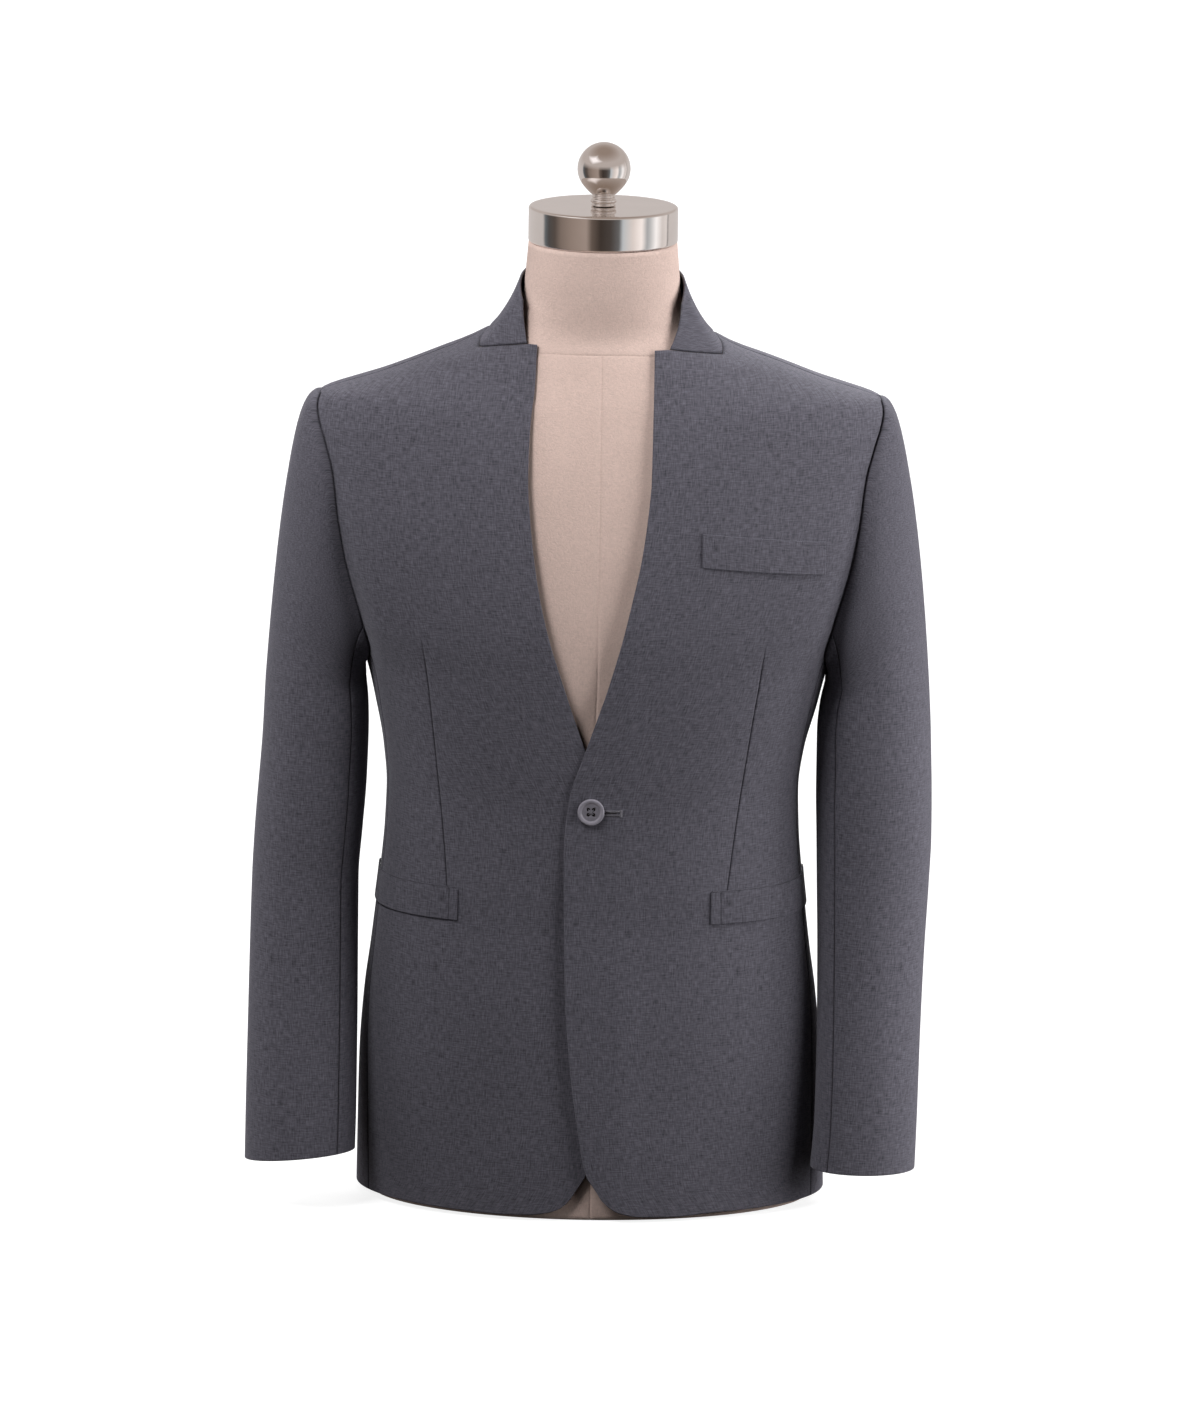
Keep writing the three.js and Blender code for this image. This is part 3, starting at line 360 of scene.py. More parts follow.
def run_along(points, axis):
    """Length from the first point along rows (axis 1) or columns (axis 0)."""
    step = np.linalg.norm(np.diff(points, axis=axis), axis=-1)
    pad = [(0, 0), (0, 0)]
    pad[axis] = (1, 0)
    return np.pad(np.cumsum(step, axis=axis), pad)


def columns(point_at, rows, first, last, counts, line=None):
    """Shares along each row, close together at both edges and beside an inner line.

    Gives the shares, the distance from the first edge, from the last edge and from the line.
    """
    dense = np.broadcast_to(np.linspace(0, 1, 361), (rows, 361))
    run = run_along(point_at(dense), 1)
    width = run[:, -1]
    shares, places, beside = [], [], []
    for j in range(rows):
        if line is None:
            middle = np.linspace(first[-1], width[j] - last[-1], counts[0] + 2)[1:-1]
            mark = 0
        else:
            mark = np.interp(line[j], dense[j], run[j])
            reach = BESIDE_LINE[-1] + 6
            mark = min(max(mark, first[-1] + reach), width[j] - last[-1] - reach)
            lower = np.linspace(first[-1], mark + BESIDE_LINE[0], counts[0] + 2)[1:-1]
            upper = np.linspace(mark + BESIDE_LINE[-1], width[j] - last[-1], counts[1] + 2)[1:-1]
            middle = np.concatenate([lower, mark + np.array(BESIDE_LINE), upper])
        place = np.concatenate([first, middle, width[j] - np.array(last)[::-1]])
        places.append(place)
        beside.append(place - mark)
        shares.append(np.interp(place, run[j], dense[j]))
    places = np.array(places)
    return np.array(shares), places, width[:, None] - places, np.array(beside)


def levels_between(*stops):
    """Heights from stop to stop, each stretch in its own even steps: (height, step), ..."""
    found = []
    for (low, step), (high, _) in zip(stops, stops[1:]):
        count = max(int(round((high - low) / step)), 1)
        found += list(np.linspace(low, high, count + 1)[:-1])
    return found + [stops[-1][0]]


def rounded(distance, radius=0.95):
    """How far a face falls back near a rounded edge."""
    d = np.clip(distance, 0, radius)
    return radius - np.sqrt(np.maximum(radius ** 2 - (radius - d) ** 2, 0))


def groove(distance, depth, width=0.8):
    return depth * np.exp(-(distance / width) ** 2) + 0.35 * depth * np.exp(-(distance / 3.5) ** 2)


def line_of(distance, width):
    """Narrow line on each side of a distance of nought."""
    return np.exp(-(distance / width) ** 2)


def folds(table, across, up, reach):
    """Soft troughs and ridges along straight lines that fade towards their ends."""
    total = np.zeros(np.broadcast(across, up).shape)
    for a0, z0, a1, z1, wide, high in table:
        ax, az = (a1 - a0) * reach, z1 - z0
        length = math.hypot(ax, az)
        dx, dz = (across - a0) * reach, up - z0
        along = (dx * ax + dz * az) / length ** 2
        bow = 5 * np.sin(math.pi * np.clip(along, 0, 1))
        off = (dx * az - dz * ax) / length + bow
        fade = smoothstep(along, -0.12, 0.3) * (1 - smoothstep(along, 0.7, 1.12))
        total += high * np.exp(-(off / wide) ** 2) * fade
    return total


def grid_normals(grid):
    """Directions of a grid of points from its neighbours."""
    along = np.gradient(grid, axis=1)
    up = np.gradient(grid, axis=0)
    return unit(np.cross(unit(along), unit(up)))


def quads(a, b, c, d):
    return np.stack([a, b, c, d], -1).reshape(-1, 4)


def wall(outer, inner):
    """Closed cloth wall from an outer and an inner grid: points, faces, which faces lie inside."""
    rows, across = outer.shape[:2]
    o = np.arange(rows * across).reshape(rows, across)
    n = o + rows * across
    skin = quads(o[:-1, :-1], o[:-1, 1:], o[1:, 1:], o[1:, :-1])
    inside = quads(n[:-1, :-1], n[1:, :-1], n[1:, 1:], n[:-1, 1:])
    rim = [
        quads(o[0, :-1], n[0, :-1], n[0, 1:], o[0, 1:]),
        quads(o[-1, :-1], o[-1, 1:], n[-1, 1:], n[-1, :-1]),
        quads(o[:-1, 0], o[1:, 0], n[1:, 0], n[:-1, 0]),
        quads(o[:-1, -1], n[:-1, -1], n[1:, -1], o[1:, -1]),
    ]
    points = np.concatenate([outer.reshape(-1, 3), inner.reshape(-1, 3)])
    faces = np.concatenate([skin, *rim, inside])
    lined = np.zeros(len(faces), int)
    lined[-len(inside):] = 1
    return points, face_out(points, faces), lined


def face_out(points, faces):
    """Turns the faces so that the closed body's volume is positive."""
    a, b, c, d = (points[faces[:, k]] for k in range(4))
    volume = np.einsum("ij,ij->", a, np.cross(b, c)) + np.einsum("ij,ij->", a, np.cross(c, d))
    return faces[:, ::-1] if volume < 0 else faces


def rings(grid):
    """Closed body from rings of points, with a flat or pointed end at each side."""
    rows, sides = grid.shape[:2]
    o = np.arange(rows * sides).reshape(rows, sides)
    around = np.roll(o, -1, axis=1)
    faces = quads(o[:-1], around[:-1], around[1:], o[1:])
    ends = [list(o[0][::-1]), list(o[-1])]
    points = grid.reshape(-1, 3)
    turned = face_out(points, faces)
    if turned is not faces:
        ends = [end[::-1] for end in ends]
    return points, turned.tolist() + [[int(i) for i in end] for end in ends]


def make_object(name, points, faces, materials, part=None, place=None, shade=None):
    """New mesh piece from points in millimetres."""
    mesh = bpy.data.meshes.new(name)
    mesh.from_pydata((points * MM).tolist(), [], [list(map(int, face)) for face in faces])
    if mesh.validate():
        raise RuntimeError(f"{name} has faces that can't be used")
    for material in materials:
        mesh.materials.append(material)
    if part is not None:
        mesh.polygons.foreach_set("material_index", part.astype(np.int32))
    if place is not None:
        layer = mesh.attributes.new("cloth_place", "FLOAT_VECTOR", "POINT")
        layer.data.foreach_set("vector", (place * MM).astype(np.float32).ravel())
    # Painted shade on each point, by which the cloth and plastic finishes darken their colour.
    if place is not None or shade is not None:
        layer = mesh.attributes.new("painted_shade", "FLOAT", "POINT")
        if shade is not None:
            layer.data.foreach_set("value", shade.astype(np.float32).ravel())
    mesh.shade_smooth()
    piece = bpy.data.objects.new(name, mesh)
    bpy.context.scene.collection.objects.link(piece)
    return piece


def dress(piece, slot, *nodes):
    """Lets a piece ride on the object and hides the solids that it stands for."""
    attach(piece, "root")
    if nodes:
        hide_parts(*nodes)
    return piece


def cloth_wall(name, outer, inner, place, materials, shade=0, nodes=()):
    """Closed cloth from an outer and an inner grid and the cloth's own place at their points."""
    points, faces, lined = wall(outer, inner)
    shade = np.concatenate([(shade + 0 * outer[..., 0]).ravel(), 0 * inner[..., 0].ravel()])
    piece = make_object(name, points, faces, materials, lined * (len(materials) > 1),
                        np.concatenate([place.reshape(-1, 3)] * 2), shade)
    return dress(piece, "cloth", *nodes)


def cloth_piece(node, surface, normals, fall, side, materials, lift=0, shade=0, skew=True):
    """Thin closed shell on a surface, for a node. fall is how far its two faces fall back."""
    thick = bpy.context.scene.jacket_sizes.cloth_thickness / MM
    outer = surface + normals * (lift - fall[0])[..., None]
    inner = surface + normals * (lift - thick + fall[1])[..., None]
    place = np.stack([run_along(surface, 1), surface[..., 2], 0 * surface[..., 2]], -1)
    grids = [creased(grid) * np.array([side, 1, 1]) for grid in (outer, inner)]
    if skew:
        grids = [askew(grid) for grid in grids]
    return cloth_wall(f"{node}_cloth", *grids, place, materials, shade, [node])


def fall_back(sizes, free, *seams):
    """How far the outer and inner faces fall back at free edges and at seams.

    A seam is the distance from it, its share of the seam depth and the radius of its inner edge.
    """
    outer = inner = rounded(free)
    for distance, share, radius in seams:
        outer = np.maximum(outer, groove(distance, share * (sizes.seam_depth / MM)))
        inner = np.maximum(inner, rounded(distance, radius))
    return outer, inner


def seam_shade(*distances):
    """Line of painted shade along the nearest seam, where the cloth falls into its groove."""
    return SEAM_SHADE * line_of(nearest_of(*distances), SEAM_LINE)


def nearest_of(first, *others):
    for other in others:
        first = np.minimum(first, other)
    return first


def body_levels(stops, top, close):
    """Heights of a panel's rows, close together at the hem and at the top."""
    low, high = [HEM + d for d in FREE_EDGE], [top - d for d in close[::-1]]
    return np.array(low + levels_between(*stops)[:-1] + high)


def patch(first, last, low, high, levels):
    """Surface point of the body for shares along each level, filled between four edges."""
    first_angle, first_z = first(levels)
    last_angle, last_z = last(levels)
    t = ((last_z - last_z[0]) / (last_z[-1] - last_z[0]))[:, None]

    def point_at(share):
        cell = []
        for k, (a, b) in enumerate(((first_angle, last_angle), (first_z, last_z))):
            across = lerp(a[:, None], b[:, None], share)
            up = lerp(low(share)[k], high(share)[k], t)
            ends = [edge(np.array(end))[k] for edge in (low, high) for end in (0.0, 1.0)]
            cell.append(across + up - lerp(lerp(ends[0], ends[1], share), lerp(ends[2], ends[3], share), t))
        return BODY_SHELL.point(*cell)

    return point_at


def neck_cells(name):
    """Neck end of a front as a curve: share from free corner to neck point to angle and height."""
    angles, heights = zip(*(front_cell(x, z) for x, z in NECK[name]), (90.0, NECK_POINT))
    shares = (0, 1 / 12, 6 / 12, 1)
    return lambda share: (np.interp(share, shares, angles), np.interp(share, shares, heights))


def back_neck(share):
    fall = (NECK_POINT - NECK_BACK) * np.sin(np.radians(share * 90)) ** 1.2
    return lerp(90, 180, share), NECK_POINT - fall


def straight_hem(start, stop):
    """Level hem from angle to angle."""
    return lambda share: (lerp(float(start), float(stop), share), HEM + 0 * share)


def make_front(name, sizes, materials):
    """One front, from its free edge to the side seam and armhole, with its dart."""
    side = SIDES[name]
    column = 1 if side > 0 else 2
    edge_x, hem = curve(FRONT_EDGE, column), curve(FRONT_HEM, column)
    levels = body_levels(((20, 5), (120, 6), *UPPER_STOPS), NECK_POINT, FREE_EDGE)
    corner_x = float(side * edge_x(CORNER_LEVEL))
    side_x = float(BODY_SHELL.point(side_edge(HEM, False), HEM)[0])

    def first(level):
        z = lerp(CORNER_LEVEL, NECK[name][0][1], (level - HEM) / (NECK_POINT - HEM))
        return front_cell(side * edge_x(z), z)

    def low(share):
        x = lerp(corner_x, side_x, share ** 1.35)
        return front_cell(x, hem(x - corner_x))

    point_at = patch(first, side_cells(False), low, neck_cells(name), levels)
    dense = np.linspace(0, 1, 241)
    coarse = point_at(np.broadcast_to(dense, (len(levels), len(dense))))
    gap = coarse[..., 0] - curve(DARTS[name], 1)(coarse[..., 2])
    line = np.array([np.interp(0, row, dense) for row in gap])
    dart_low, dart_high = DARTS[name][0][0], DARTS[name][-1][0]
    fixed = (levels > dart_low) & (levels < dart_high)
    share, from_first, from_last, beside = columns(
        point_at, len(levels), FREE_EDGE, SEAM_EDGE, (22, 14), np.interp(levels, levels[fixed], line[fixed]))
    surface = point_at(share)
    x, z = surface[..., 0], surface[..., 2]
    from_low, from_high = (levels - HEM)[:, None], (NECK_POINT - levels)[:, None]
    in_dart = smoothstep(z, dart_low - 4, dart_low + 2) * (1 - smoothstep(z, dart_high - 30, dart_high))
    on_collar = smoothstep(share, 0.07, 0.095)
    outer_fall, inner_fall = fall_back(sizes, np.minimum(from_first, from_low),
                                       (from_last, 1, SEAM_ROUND), (from_high, 0, NECK_ROUND))
    neck_fall = lerp(rounded(from_high), groove(from_high, sizes.seam_depth / MM), on_collar)
    dart_fall = groove(beside, sizes.dart_depth / MM, 0.6) * in_dart
    # Painted shade along the dart's crease, the seam at the side and armhole, and the seam under the collar.
    shade = np.maximum(0.85 * line_of(beside, 0.55) * in_dart, seam_shade(from_last))
    shade = np.maximum(shade, 0.4 * line_of(from_high, SEAM_LINE) * on_collar)
    depth, start, stop = LOWER_FRONT[name]
    lap = side * LAP * (1 - smoothstep(x, *LAP_FADE))
    lap = lap + depth * (1 - smoothstep(z, 230, 325)) * (1 - smoothstep(x, start, stop))
    lift = lap + sizes.fold_scale * folds(BODY_FOLDS[f"front_{name}"], x, z, 1)
    fall = np.maximum(outer_fall, neck_fall) + dart_fall, inner_fall
    return cloth_piece(f"front_{name}", surface, BODY_SHELL.normal(surface), fall, side, materials,
                       lift, shade)


def make_side(name, sizes, materials):
    """Panel under the arm between front and back."""
    top = float(arm_cell(JOIN_TURN)[1])
    levels = body_levels(((20, 6), (429, 5), (top - 9, 4)), top, SEAM_EDGE)
    levels[-1] = top

    def high(share):
        turns = (JOIN_TURN, 168.5, 180, 191.5, 360 - JOIN_TURN)
        angle, z = arm_cell(np.interp(share, (0, 0.25, 0.5, 0.75, 1), turns))
        return angle, z - 0.15

    low = straight_hem(side_edge(HEM, False), side_edge(HEM, True))
    point_at = patch(side_cells(False), side_cells(True), low, high, levels)
    share, from_first, from_last, _ = columns(point_at, len(levels), SEAM_EDGE, SEAM_EDGE, (22,))
    surface, between = point_at(share), np.minimum(from_first, from_last)
    from_low, from_high = (levels - HEM)[:, None], (top - levels)[:, None]
    fall = fall_back(sizes, from_low, (between, 1, SEAM_ROUND), (from_high, 1, 0))
    swell = SIDE_SWELL[name] * np.exp(-((surface[..., 2] - 410) / 26) ** 2)
    swell = swell * np.sin(math.pi * np.clip(share, 0, 1)) ** 0.7
    return cloth_piece(f"side_{name}", surface, BODY_SHELL.normal(surface), fall, SIDES[name], materials,
                       swell, seam_shade(between))


def make_back(name, sizes, materials):
    """One back, from the side seam and armhole to the centre seam."""
    levels = body_levels(((20, 6), *UPPER_STOPS), NECK_POINT, FREE_EDGE)

    def last(level):
        return np.full(level.shape, 180.0), lerp(HEM, NECK_BACK, (level - HEM) / (NECK_POINT - HEM))

    low = straight_hem(side_edge(HEM, True), 180)
    point_at = patch(side_cells(True), last, low, back_neck, levels)
    share, from_first, from_last, _ = columns(point_at, len(levels), SEAM_EDGE, SEAM_EDGE, (40,))
    surface, between = point_at(share), np.minimum(from_first, from_last)
    from_high = (NECK_POINT - levels)[:, None]
    fall = fall_back(sizes, (levels - HEM)[:, None], (between, 1, SEAM_ROUND), (from_high, 1, NECK_ROUND))
    lift = sizes.fold_scale * folds(BODY_FOLDS[f"back_{name}"], surface[..., 0], surface[..., 2], 1)
    return cloth_piece(f"back_{name}", surface, BODY_SHELL.normal(surface), fall, SIDES[name], materials,
                       lift, seam_shade(between, from_high))


def away_from_arm(turn):
    """Direction out of the armhole: sideways at the tip, and up too below it."""
    rise = (1 - np.cos(np.radians(turn))) / 2
    return unit(np.stack([np.ones_like(rise), 0 * rise, rise], -1))


def sleeve_surface(name):
    """Function from rows (-1 to 0 down the head, then heights) and turns to points of a sleeve."""
    full, cuff_lift, cuff_front, cuff_inner = CUFF[name]
    outer, inner = (curve(SLEEVE, i) for i in ((1, 2) if name == "left" else (3, 4)))
    centre, deep = curve(SLEEVE, 5), curve(SLEEVE, 6)
    out, forward, up, reach = (curve(HEAD, i) for i in (1, 2, 3, 4))

    def hanging(turn, z):
        angle = np.radians(turn)
        x = (outer(z) + inner(z)) / 2 + (outer(z) - inner(z)) / 2 * np.cos(angle)
        y = centre(z) - deep(z) * np.sin(angle)
        near = np.maximum(1 - (z - SLEEVE_LOW) / CUFF_REACH, 0) ** 1.5
        tilt = cuff_lift + cuff_front * np.sin(angle) + cuff_inner * (1 - np.cos(angle)) / 2
        return np.stack([x, y, z + tilt * near], -1)

    def head(turn, t):
        short, behind = from_tip(turn)
        start = BODY_SHELL.point(*arm_cell(turn)) + away_from_arm(turn) * SEAM
        leave = np.stack([out(short) * full, forward(short) * np.where(behind, 1, -1), up(short)], -1)
        end = hanging(turn, np.full(turn.shape, float(SLEEVE_TOP)))
        lift = reach(short)
        arrive = end + np.stack([-0.065 * lift, 0 * lift, lift], -1)
        t = t[..., None]
        return ((1 - t) ** 3 * start + 3 * t * (1 - t) ** 2 * (start + leave)
                + 3 * t * t * (1 - t) * arrive + t ** 3 * end)

    def point_at(row, turn):
        row = np.broadcast_to(row, turn.shape)
        high = head(turn, np.clip(row + 1, 0, 1))
        low = hanging(turn, np.where(row > 0, row, SLEEVE_TOP))
        return np.where((row <= 0)[..., None], high, low)

    return point_at


def make_sleeve(name, part, sizes, materials):
    """Top or under part of one sleeve, from the armhole to the open cuff."""
    point = sleeve_surface(name)
    start, stop, count = SLEEVE_CUTS[part]
    down = levels_between((SLEEVE_LOW + 12, 5.5), (SLEEVE_TOP - 5, 5))[::-1]
    rows = np.array([t - 1 for t in HEAD_ROWS] + down + [SLEEVE_LOW + d for d in FREE_EDGE[::-1][1:]])

    def point_at(share):
        return point(rows[:, None], lerp(start, stop, share))

    share, from_first, from_last, _ = columns(point_at, len(rows), SEAM_EDGE, SEAM_EDGE, (count,))
    surface, between = point_at(share), np.minimum(from_first, from_last)
    turn = lerp(start, stop, share)
    from_arm = run_along(surface, 0)
    fall = fall_back(sizes, from_arm[-1:] - from_arm, (between, 1, SEAM_ROUND), (from_arm, 0.8, 0))
    lift = sum(folds(SLEEVE_FOLDS[name], turn + wrap, surface[..., 2], 0.95) for wrap in (-360, 0, 360))
    ripple = 0.22 * np.sin(np.radians(turn * 9)) * np.exp(-((from_arm - 9) / 7) ** 2)
    lift = sizes.fold_scale * lift + ripple * (np.cos(np.radians(turn)) > 0.2)
    return cloth_piece(f"sleeve_{part}_{name}", surface, grid_normals(surface), fall, SIDES[name],
                       materials, lift, seam_shade(between, from_arm), skew=False)


def make_tape(name, materials):
    """Cloth tape sewn under the armhole seam."""
    turn = np.linspace(0, 360, 181)
    seam = BODY_SHELL.point(*arm_cell(turn))
    out = BODY_SHELL.normal(seam)
    reach = np.linspace(*TAPE_REACH, 13)
    middle = seam[:, None] + away_from_arm(turn)[:, None] * reach[:, None]
    grids = [creased(middle - out[:, None] * depth) * np.array([SIDES[name], 1, 1]) for depth in TAPE_DEPTHS]
    place = np.stack([0 * turn[:, None] + reach, turn[:, None] * 2 + 0 * reach, 0 * middle[..., 0]], -1)
    return cloth_wall(f"armhole_tape_{name}", *grids, place, materials[:1])


def make_collar(sizes, materials):
    """Stand collar in one band from the right front round the neck to the left front."""
    band = [curve(COLLAR, i) for i in range(1, 7)]
    rise = np.array([0] + [d / 60 for d in SEAM_EDGE[1:]] + list(np.linspace(0.19, 0.8, 15))
                    + [1 - d / 60 for d in FREE_EDGE[::-1]])
    necks = [neck_cells(name) for name in SIDES]

    def point_at(share):
        place = share * 2 - 1
        along = 1 - np.abs(place)
        front = lerp(1 / 12, 1, np.minimum(along * 2, 1))
        left, right = (BODY_SHELL.point(*neck(front)) for neck in necks)
        back = BODY_SHELL.point(*back_neck(np.clip(along * 2 - 1, 0, 1)))
        low = np.where((place < 0)[..., None], right, left)
        low = np.where((along <= 0.5)[..., None], low, back)
        mid, top = (np.stack([f(along) for f in some], -1) for some in (band[:3], band[3:]))
        low = low + unit(mid - low) * SEAM
        t = rise[:, None, None]
        p = (1 - t) ** 2 * low + 2 * t * (1 - t) * mid + t ** 2 * top
        return p * np.stack([np.sign(place), 1 + 0 * place, 1 + 0 * place], -1)

    share, from_first, from_last, _ = columns(point_at, len(rise), FREE_EDGE, FREE_EDGE, (110,))
    surface = point_at(share)
    from_low = run_along(surface, 0)
    free = nearest_of(from_first, from_last, from_low[-1:] - from_low)
    fall = fall_back(sizes, free, (from_low, 1, 0.5))
    return cloth_piece("collar", surface, -grid_normals(surface), fall, 1, materials,
                       shade=seam_shade(from_low))


def make_welt(node, side, cell_at, length, height, counts, materials, stitch=0):
    """Pocket welt lying on a front, cut from the same surface, with a line of stitches if any."""
    steps = np.array(WELT_STEPS)

    def spread(size, count, extra=()):
        return np.unique(np.concatenate([steps, np.linspace(3, size - 3, count), extra, size - steps]))

    beside = stitch + np.array([-0.9, -0.5, -0.25, 0, 0.25, 0.5, 0.9]) if stitch else ()
    u, v = np.meshgrid(spread(length, counts[0], beside), spread(height, counts[1]))
    surface = BODY_SHELL.point(*cell_at(u / length, v / height))
    normals = BODY_SHELL.normal(surface)
    fall = rounded(nearest_of(u, length - u, v, height - v), 0.55)
    sewn = 0.35 * bool(stitch) * line_of(u - stitch, 0.45)
    grids = [askew((surface + normals * lift[..., None]) * np.array([side, 1, 1]))
             for lift in (WELT_LIES + WELT - fall - sewn, WELT_LIES + fall)]
    # Painted shade along the stitch groove and under the top edge, on the stitched waist welts only.
    shade = np.maximum(0.4 * line_of(u - stitch, 0.4), 0.5 * line_of(height - v - 0.4, 0.5))
    place = np.stack([u, v, 0 * u], -1)
    return cloth_wall(f"{node}_cloth", *grids, place, materials, shade * bool(stitch), [node])


def waist_cell(name):
    """Place on a waist welt, whose inner upper corner is a little round."""
    def cell_at(u, v):
        z = lerp(WAIST_WELT_LOW, WAIST_WELT_HIGH, v)
        over = np.clip(z - (WAIST_WELT_HIGH - WELT_CORNER), 0, WELT_CORNER)
        pull = WELT_CORNER - np.sqrt(WELT_CORNER ** 2 - over ** 2)
        start, _ = front_cell(WAIST_WELT[name] + pull, z)
        return lerp(start, WAIST_WELT_END, u), z
    return cell_at


def chest_cell(u, v):
    (inner_x, inner_low, inner_high), (outer_x, outer_low, outer_high) = CHEST_WELT
    z = lerp(lerp(inner_low, outer_low, u), lerp(inner_high, outer_high, u), v)
    return front_cell(lerp(inner_x, outer_x, u), z)


def make_form(materials):
    """Linen cover of the form, with its neck seam and centre-front seam."""
    edge = [(3 - 3 * math.cos(a), 3 - 3 * math.sin(a)) for a in np.radians((90, 60, 30))]
    levels = (levels_between((4, 8), (640, 5), (700, 4))[:-1] + [FORM_SEAM + d for d in BESIDE_LINE]
              + levels_between((720, 3), (740, 5), (785, 3), (792.5, 1)))
    all_z = np.array([z for _, z in edge] + levels)
    shrink = np.array([d for d, _ in edge] + [0] * len(levels))
    z = all_z[:, None]

    def point_at(share):
        return FORM_SHELL.point(lerp(-180, 180, share), z + 0 * share)

    centre = 0.5 + FORM_SHELL.angle_at_x(0.6, all_z) / 360
    share, _, _, beside = columns(point_at, len(all_z), (0,), (0,), (60, 60), centre)
    share, beside = share[:, :-1], beside[:, :-1]
    surface = point_at(share)
    normals = FORM_SHELL.normal(surface)
    normals[..., 2] *= z < 780
    below = 1 - smoothstep(z, FORM_SEAM - 1.5, FORM_SEAM)
    fall = groove(z - FORM_SEAM, 0.5, 0.7) + groove(beside, 0.45, 0.7) * below
    points = askew(surface + normals * (-shrink[:, None] - fall)[..., None])
    base = points[:1] * np.array([0.6, 0.6, 0])
    points, faces = rings(np.concatenate([base, points, points[-1:] * np.array([0.7, 0.7, 1])]))
    return dress(make_object("form_linen", points, faces, materials), "linen", "form_torso")


def ring_angles(sides):
    return np.radians(np.arange(sides) / sides * 360)


def turned(name, profile, sides, materials, slot, node):
    """Round piece on the neck's axis from a list of radius and height."""
    profile, angle = np.array(profile, float), ring_angles(sides)
    radius, height = profile[:, :1], profile[:, 1:] + 0 * angle
    points, faces = rings(np.stack([radius * np.sin(angle), -radius * np.cos(angle), height], -1))
    return dress(make_object(name, points, faces, materials), slot, node)


def arc(radius, height, r, start, stop, count):
    """Points of a round corner in a profile."""
    angles = np.radians(np.linspace(start, stop, count))
    return [(radius + r * math.cos(a), height + r * math.sin(a)) for a in angles]


def cap_profile():
    r = 2.2
    low = arc(CAP_RADIUS - r, CAP_LOW + r, r, -90, 0, 7)
    high = arc(CAP_RADIUS - r, CAP_HIGH - r, r, 0, 90, 9)
    wall_rows = [(CAP_RADIUS, z) for z in np.linspace(CAP_LOW + r, CAP_HIGH - r, 6)[1:-1]]
    top = [(radius, CAP_HIGH) for radius in (56, 50, 40, 25, 12, 1)]
    return [(1, CAP_LOW), (30, CAP_LOW)] + low + wall_rows + high + top


def ball_profile():
    """Foot with its three beads, then the ball, which narrows straight into them."""
    foot = [(1, BALL_FOOT), (BALL_STEM - 1.2, BALL_FOOT)]
    foot += arc(BALL_STEM - 1.3, BALL_FOOT + 0.95, 0.9, -70, 70, 7)
    foot += [(BALL_STEM - 1.25, BALL_FOOT + 2.15)]
    foot += arc(BALL_STEM - 1.7, BALL_FOOT + 4.3, 1.9, -65, 65, 10)
    foot += [(BALL_STEM - 1.5, BALL_FOOT + 6.6)]
    foot += arc(BALL_STEM - 1.9, BALL_FOOT + 7.75, 0.9, -65, 65, 7)
    foot += [(BALL_STEM - 1.9, BALL_FOOT + 8.95), (BALL_STEM - 1.2, BALL_FOOT + 9.2)]
    ball = [(BALL_RADIUS * math.sin(a), BALL_Z - BALL_RADIUS * math.cos(a))
            for a in np.radians(np.linspace(50, 179, 40))]
    (r0, z0), (r1, z1) = foot[-1], ball[0]
    neck = [(lerp(r0, r1, t), lerp(z0, z1, t) - 0.35 * math.sin(math.pi * t)) for t in (0.25, 0.5, 0.75)]
    return foot + neck + ball


def front_seat(x, z):
    """Place on the left front and the direction out of it."""
    point = BODY_SHELL.point(*front_cell(x, z))
    return point, BODY_SHELL.normal(point)


def on_button_seat(points):
    """Moves points made round an upright axis to the button's place."""
    point, facing = front_seat(BUTTON_X, BUTTON_Z)
    turn = np.array(Vector((0, 0, 1)).rotation_difference(Vector(facing)).to_matrix())
    return points @ turn.T + (point + facing * (LAP + SEAM + 0.25))


def make_button(materials):
    """Dished button with a round rim and four holes."""
    level = BUTTON_THICK - BUTTON_DISH
    face_r = np.concatenate([[0.1, 0.5, 1.0, 1.3], np.linspace(1.55, 4.4, 30), [5, 5.8, 6.6, 7.1]])
    face = [(r, level) for r in face_r]
    face += [(7.5, level + 0.06), (7.9, level + 0.35), (8.3, BUTTON_THICK - 0.22), (8.8, BUTTON_THICK - 0.04)]
    face += arc(BUTTON_RADIUS - 1.1, BUTTON_THICK - 1.1, 1.1, 100, 0, 10)
    face += arc(BUTTON_RADIUS - 1.1, 1.1, 1.1, 0, -90, 6)
    profile = np.array(face + [(BUTTON_RADIUS - BUTTON_RIM, 0), (4, 0), (0.2, 0)])
    angle = ring_angles(144)
    x, y = profile[:, :1] * np.cos(angle), profile[:, :1] * np.sin(angle)
    on_face = np.arange(len(profile))[:, None] < len(face_r)
    reach = np.hypot(np.abs(x) - HOLE_PITCH, np.abs(y) - HOLE_PITCH)
    hole = (1 - smoothstep(reach, HOLE_RADIUS - 0.12, HOLE_RADIUS + 0.12)) * on_face
    bevel = 0.18 * line_of(reach - HOLE_RADIUS, 0.35) * on_face
    height = profile[:, 1:] + 0 * angle - hole * (level - 0.3) - bevel * (1 - hole)
    points, faces = rings(askew(on_button_seat(np.stack([x, y, height], -1))))
    # Painted shade in the four holes and over the dish inside the rim.
    shade = 0.85 * hole + 0.3 * on_face * smoothstep(np.hypot(x, y), 9.2, 7.2)
    return dress(make_object("button_disc", points, faces, materials, shade=shade), "plastic", "button")


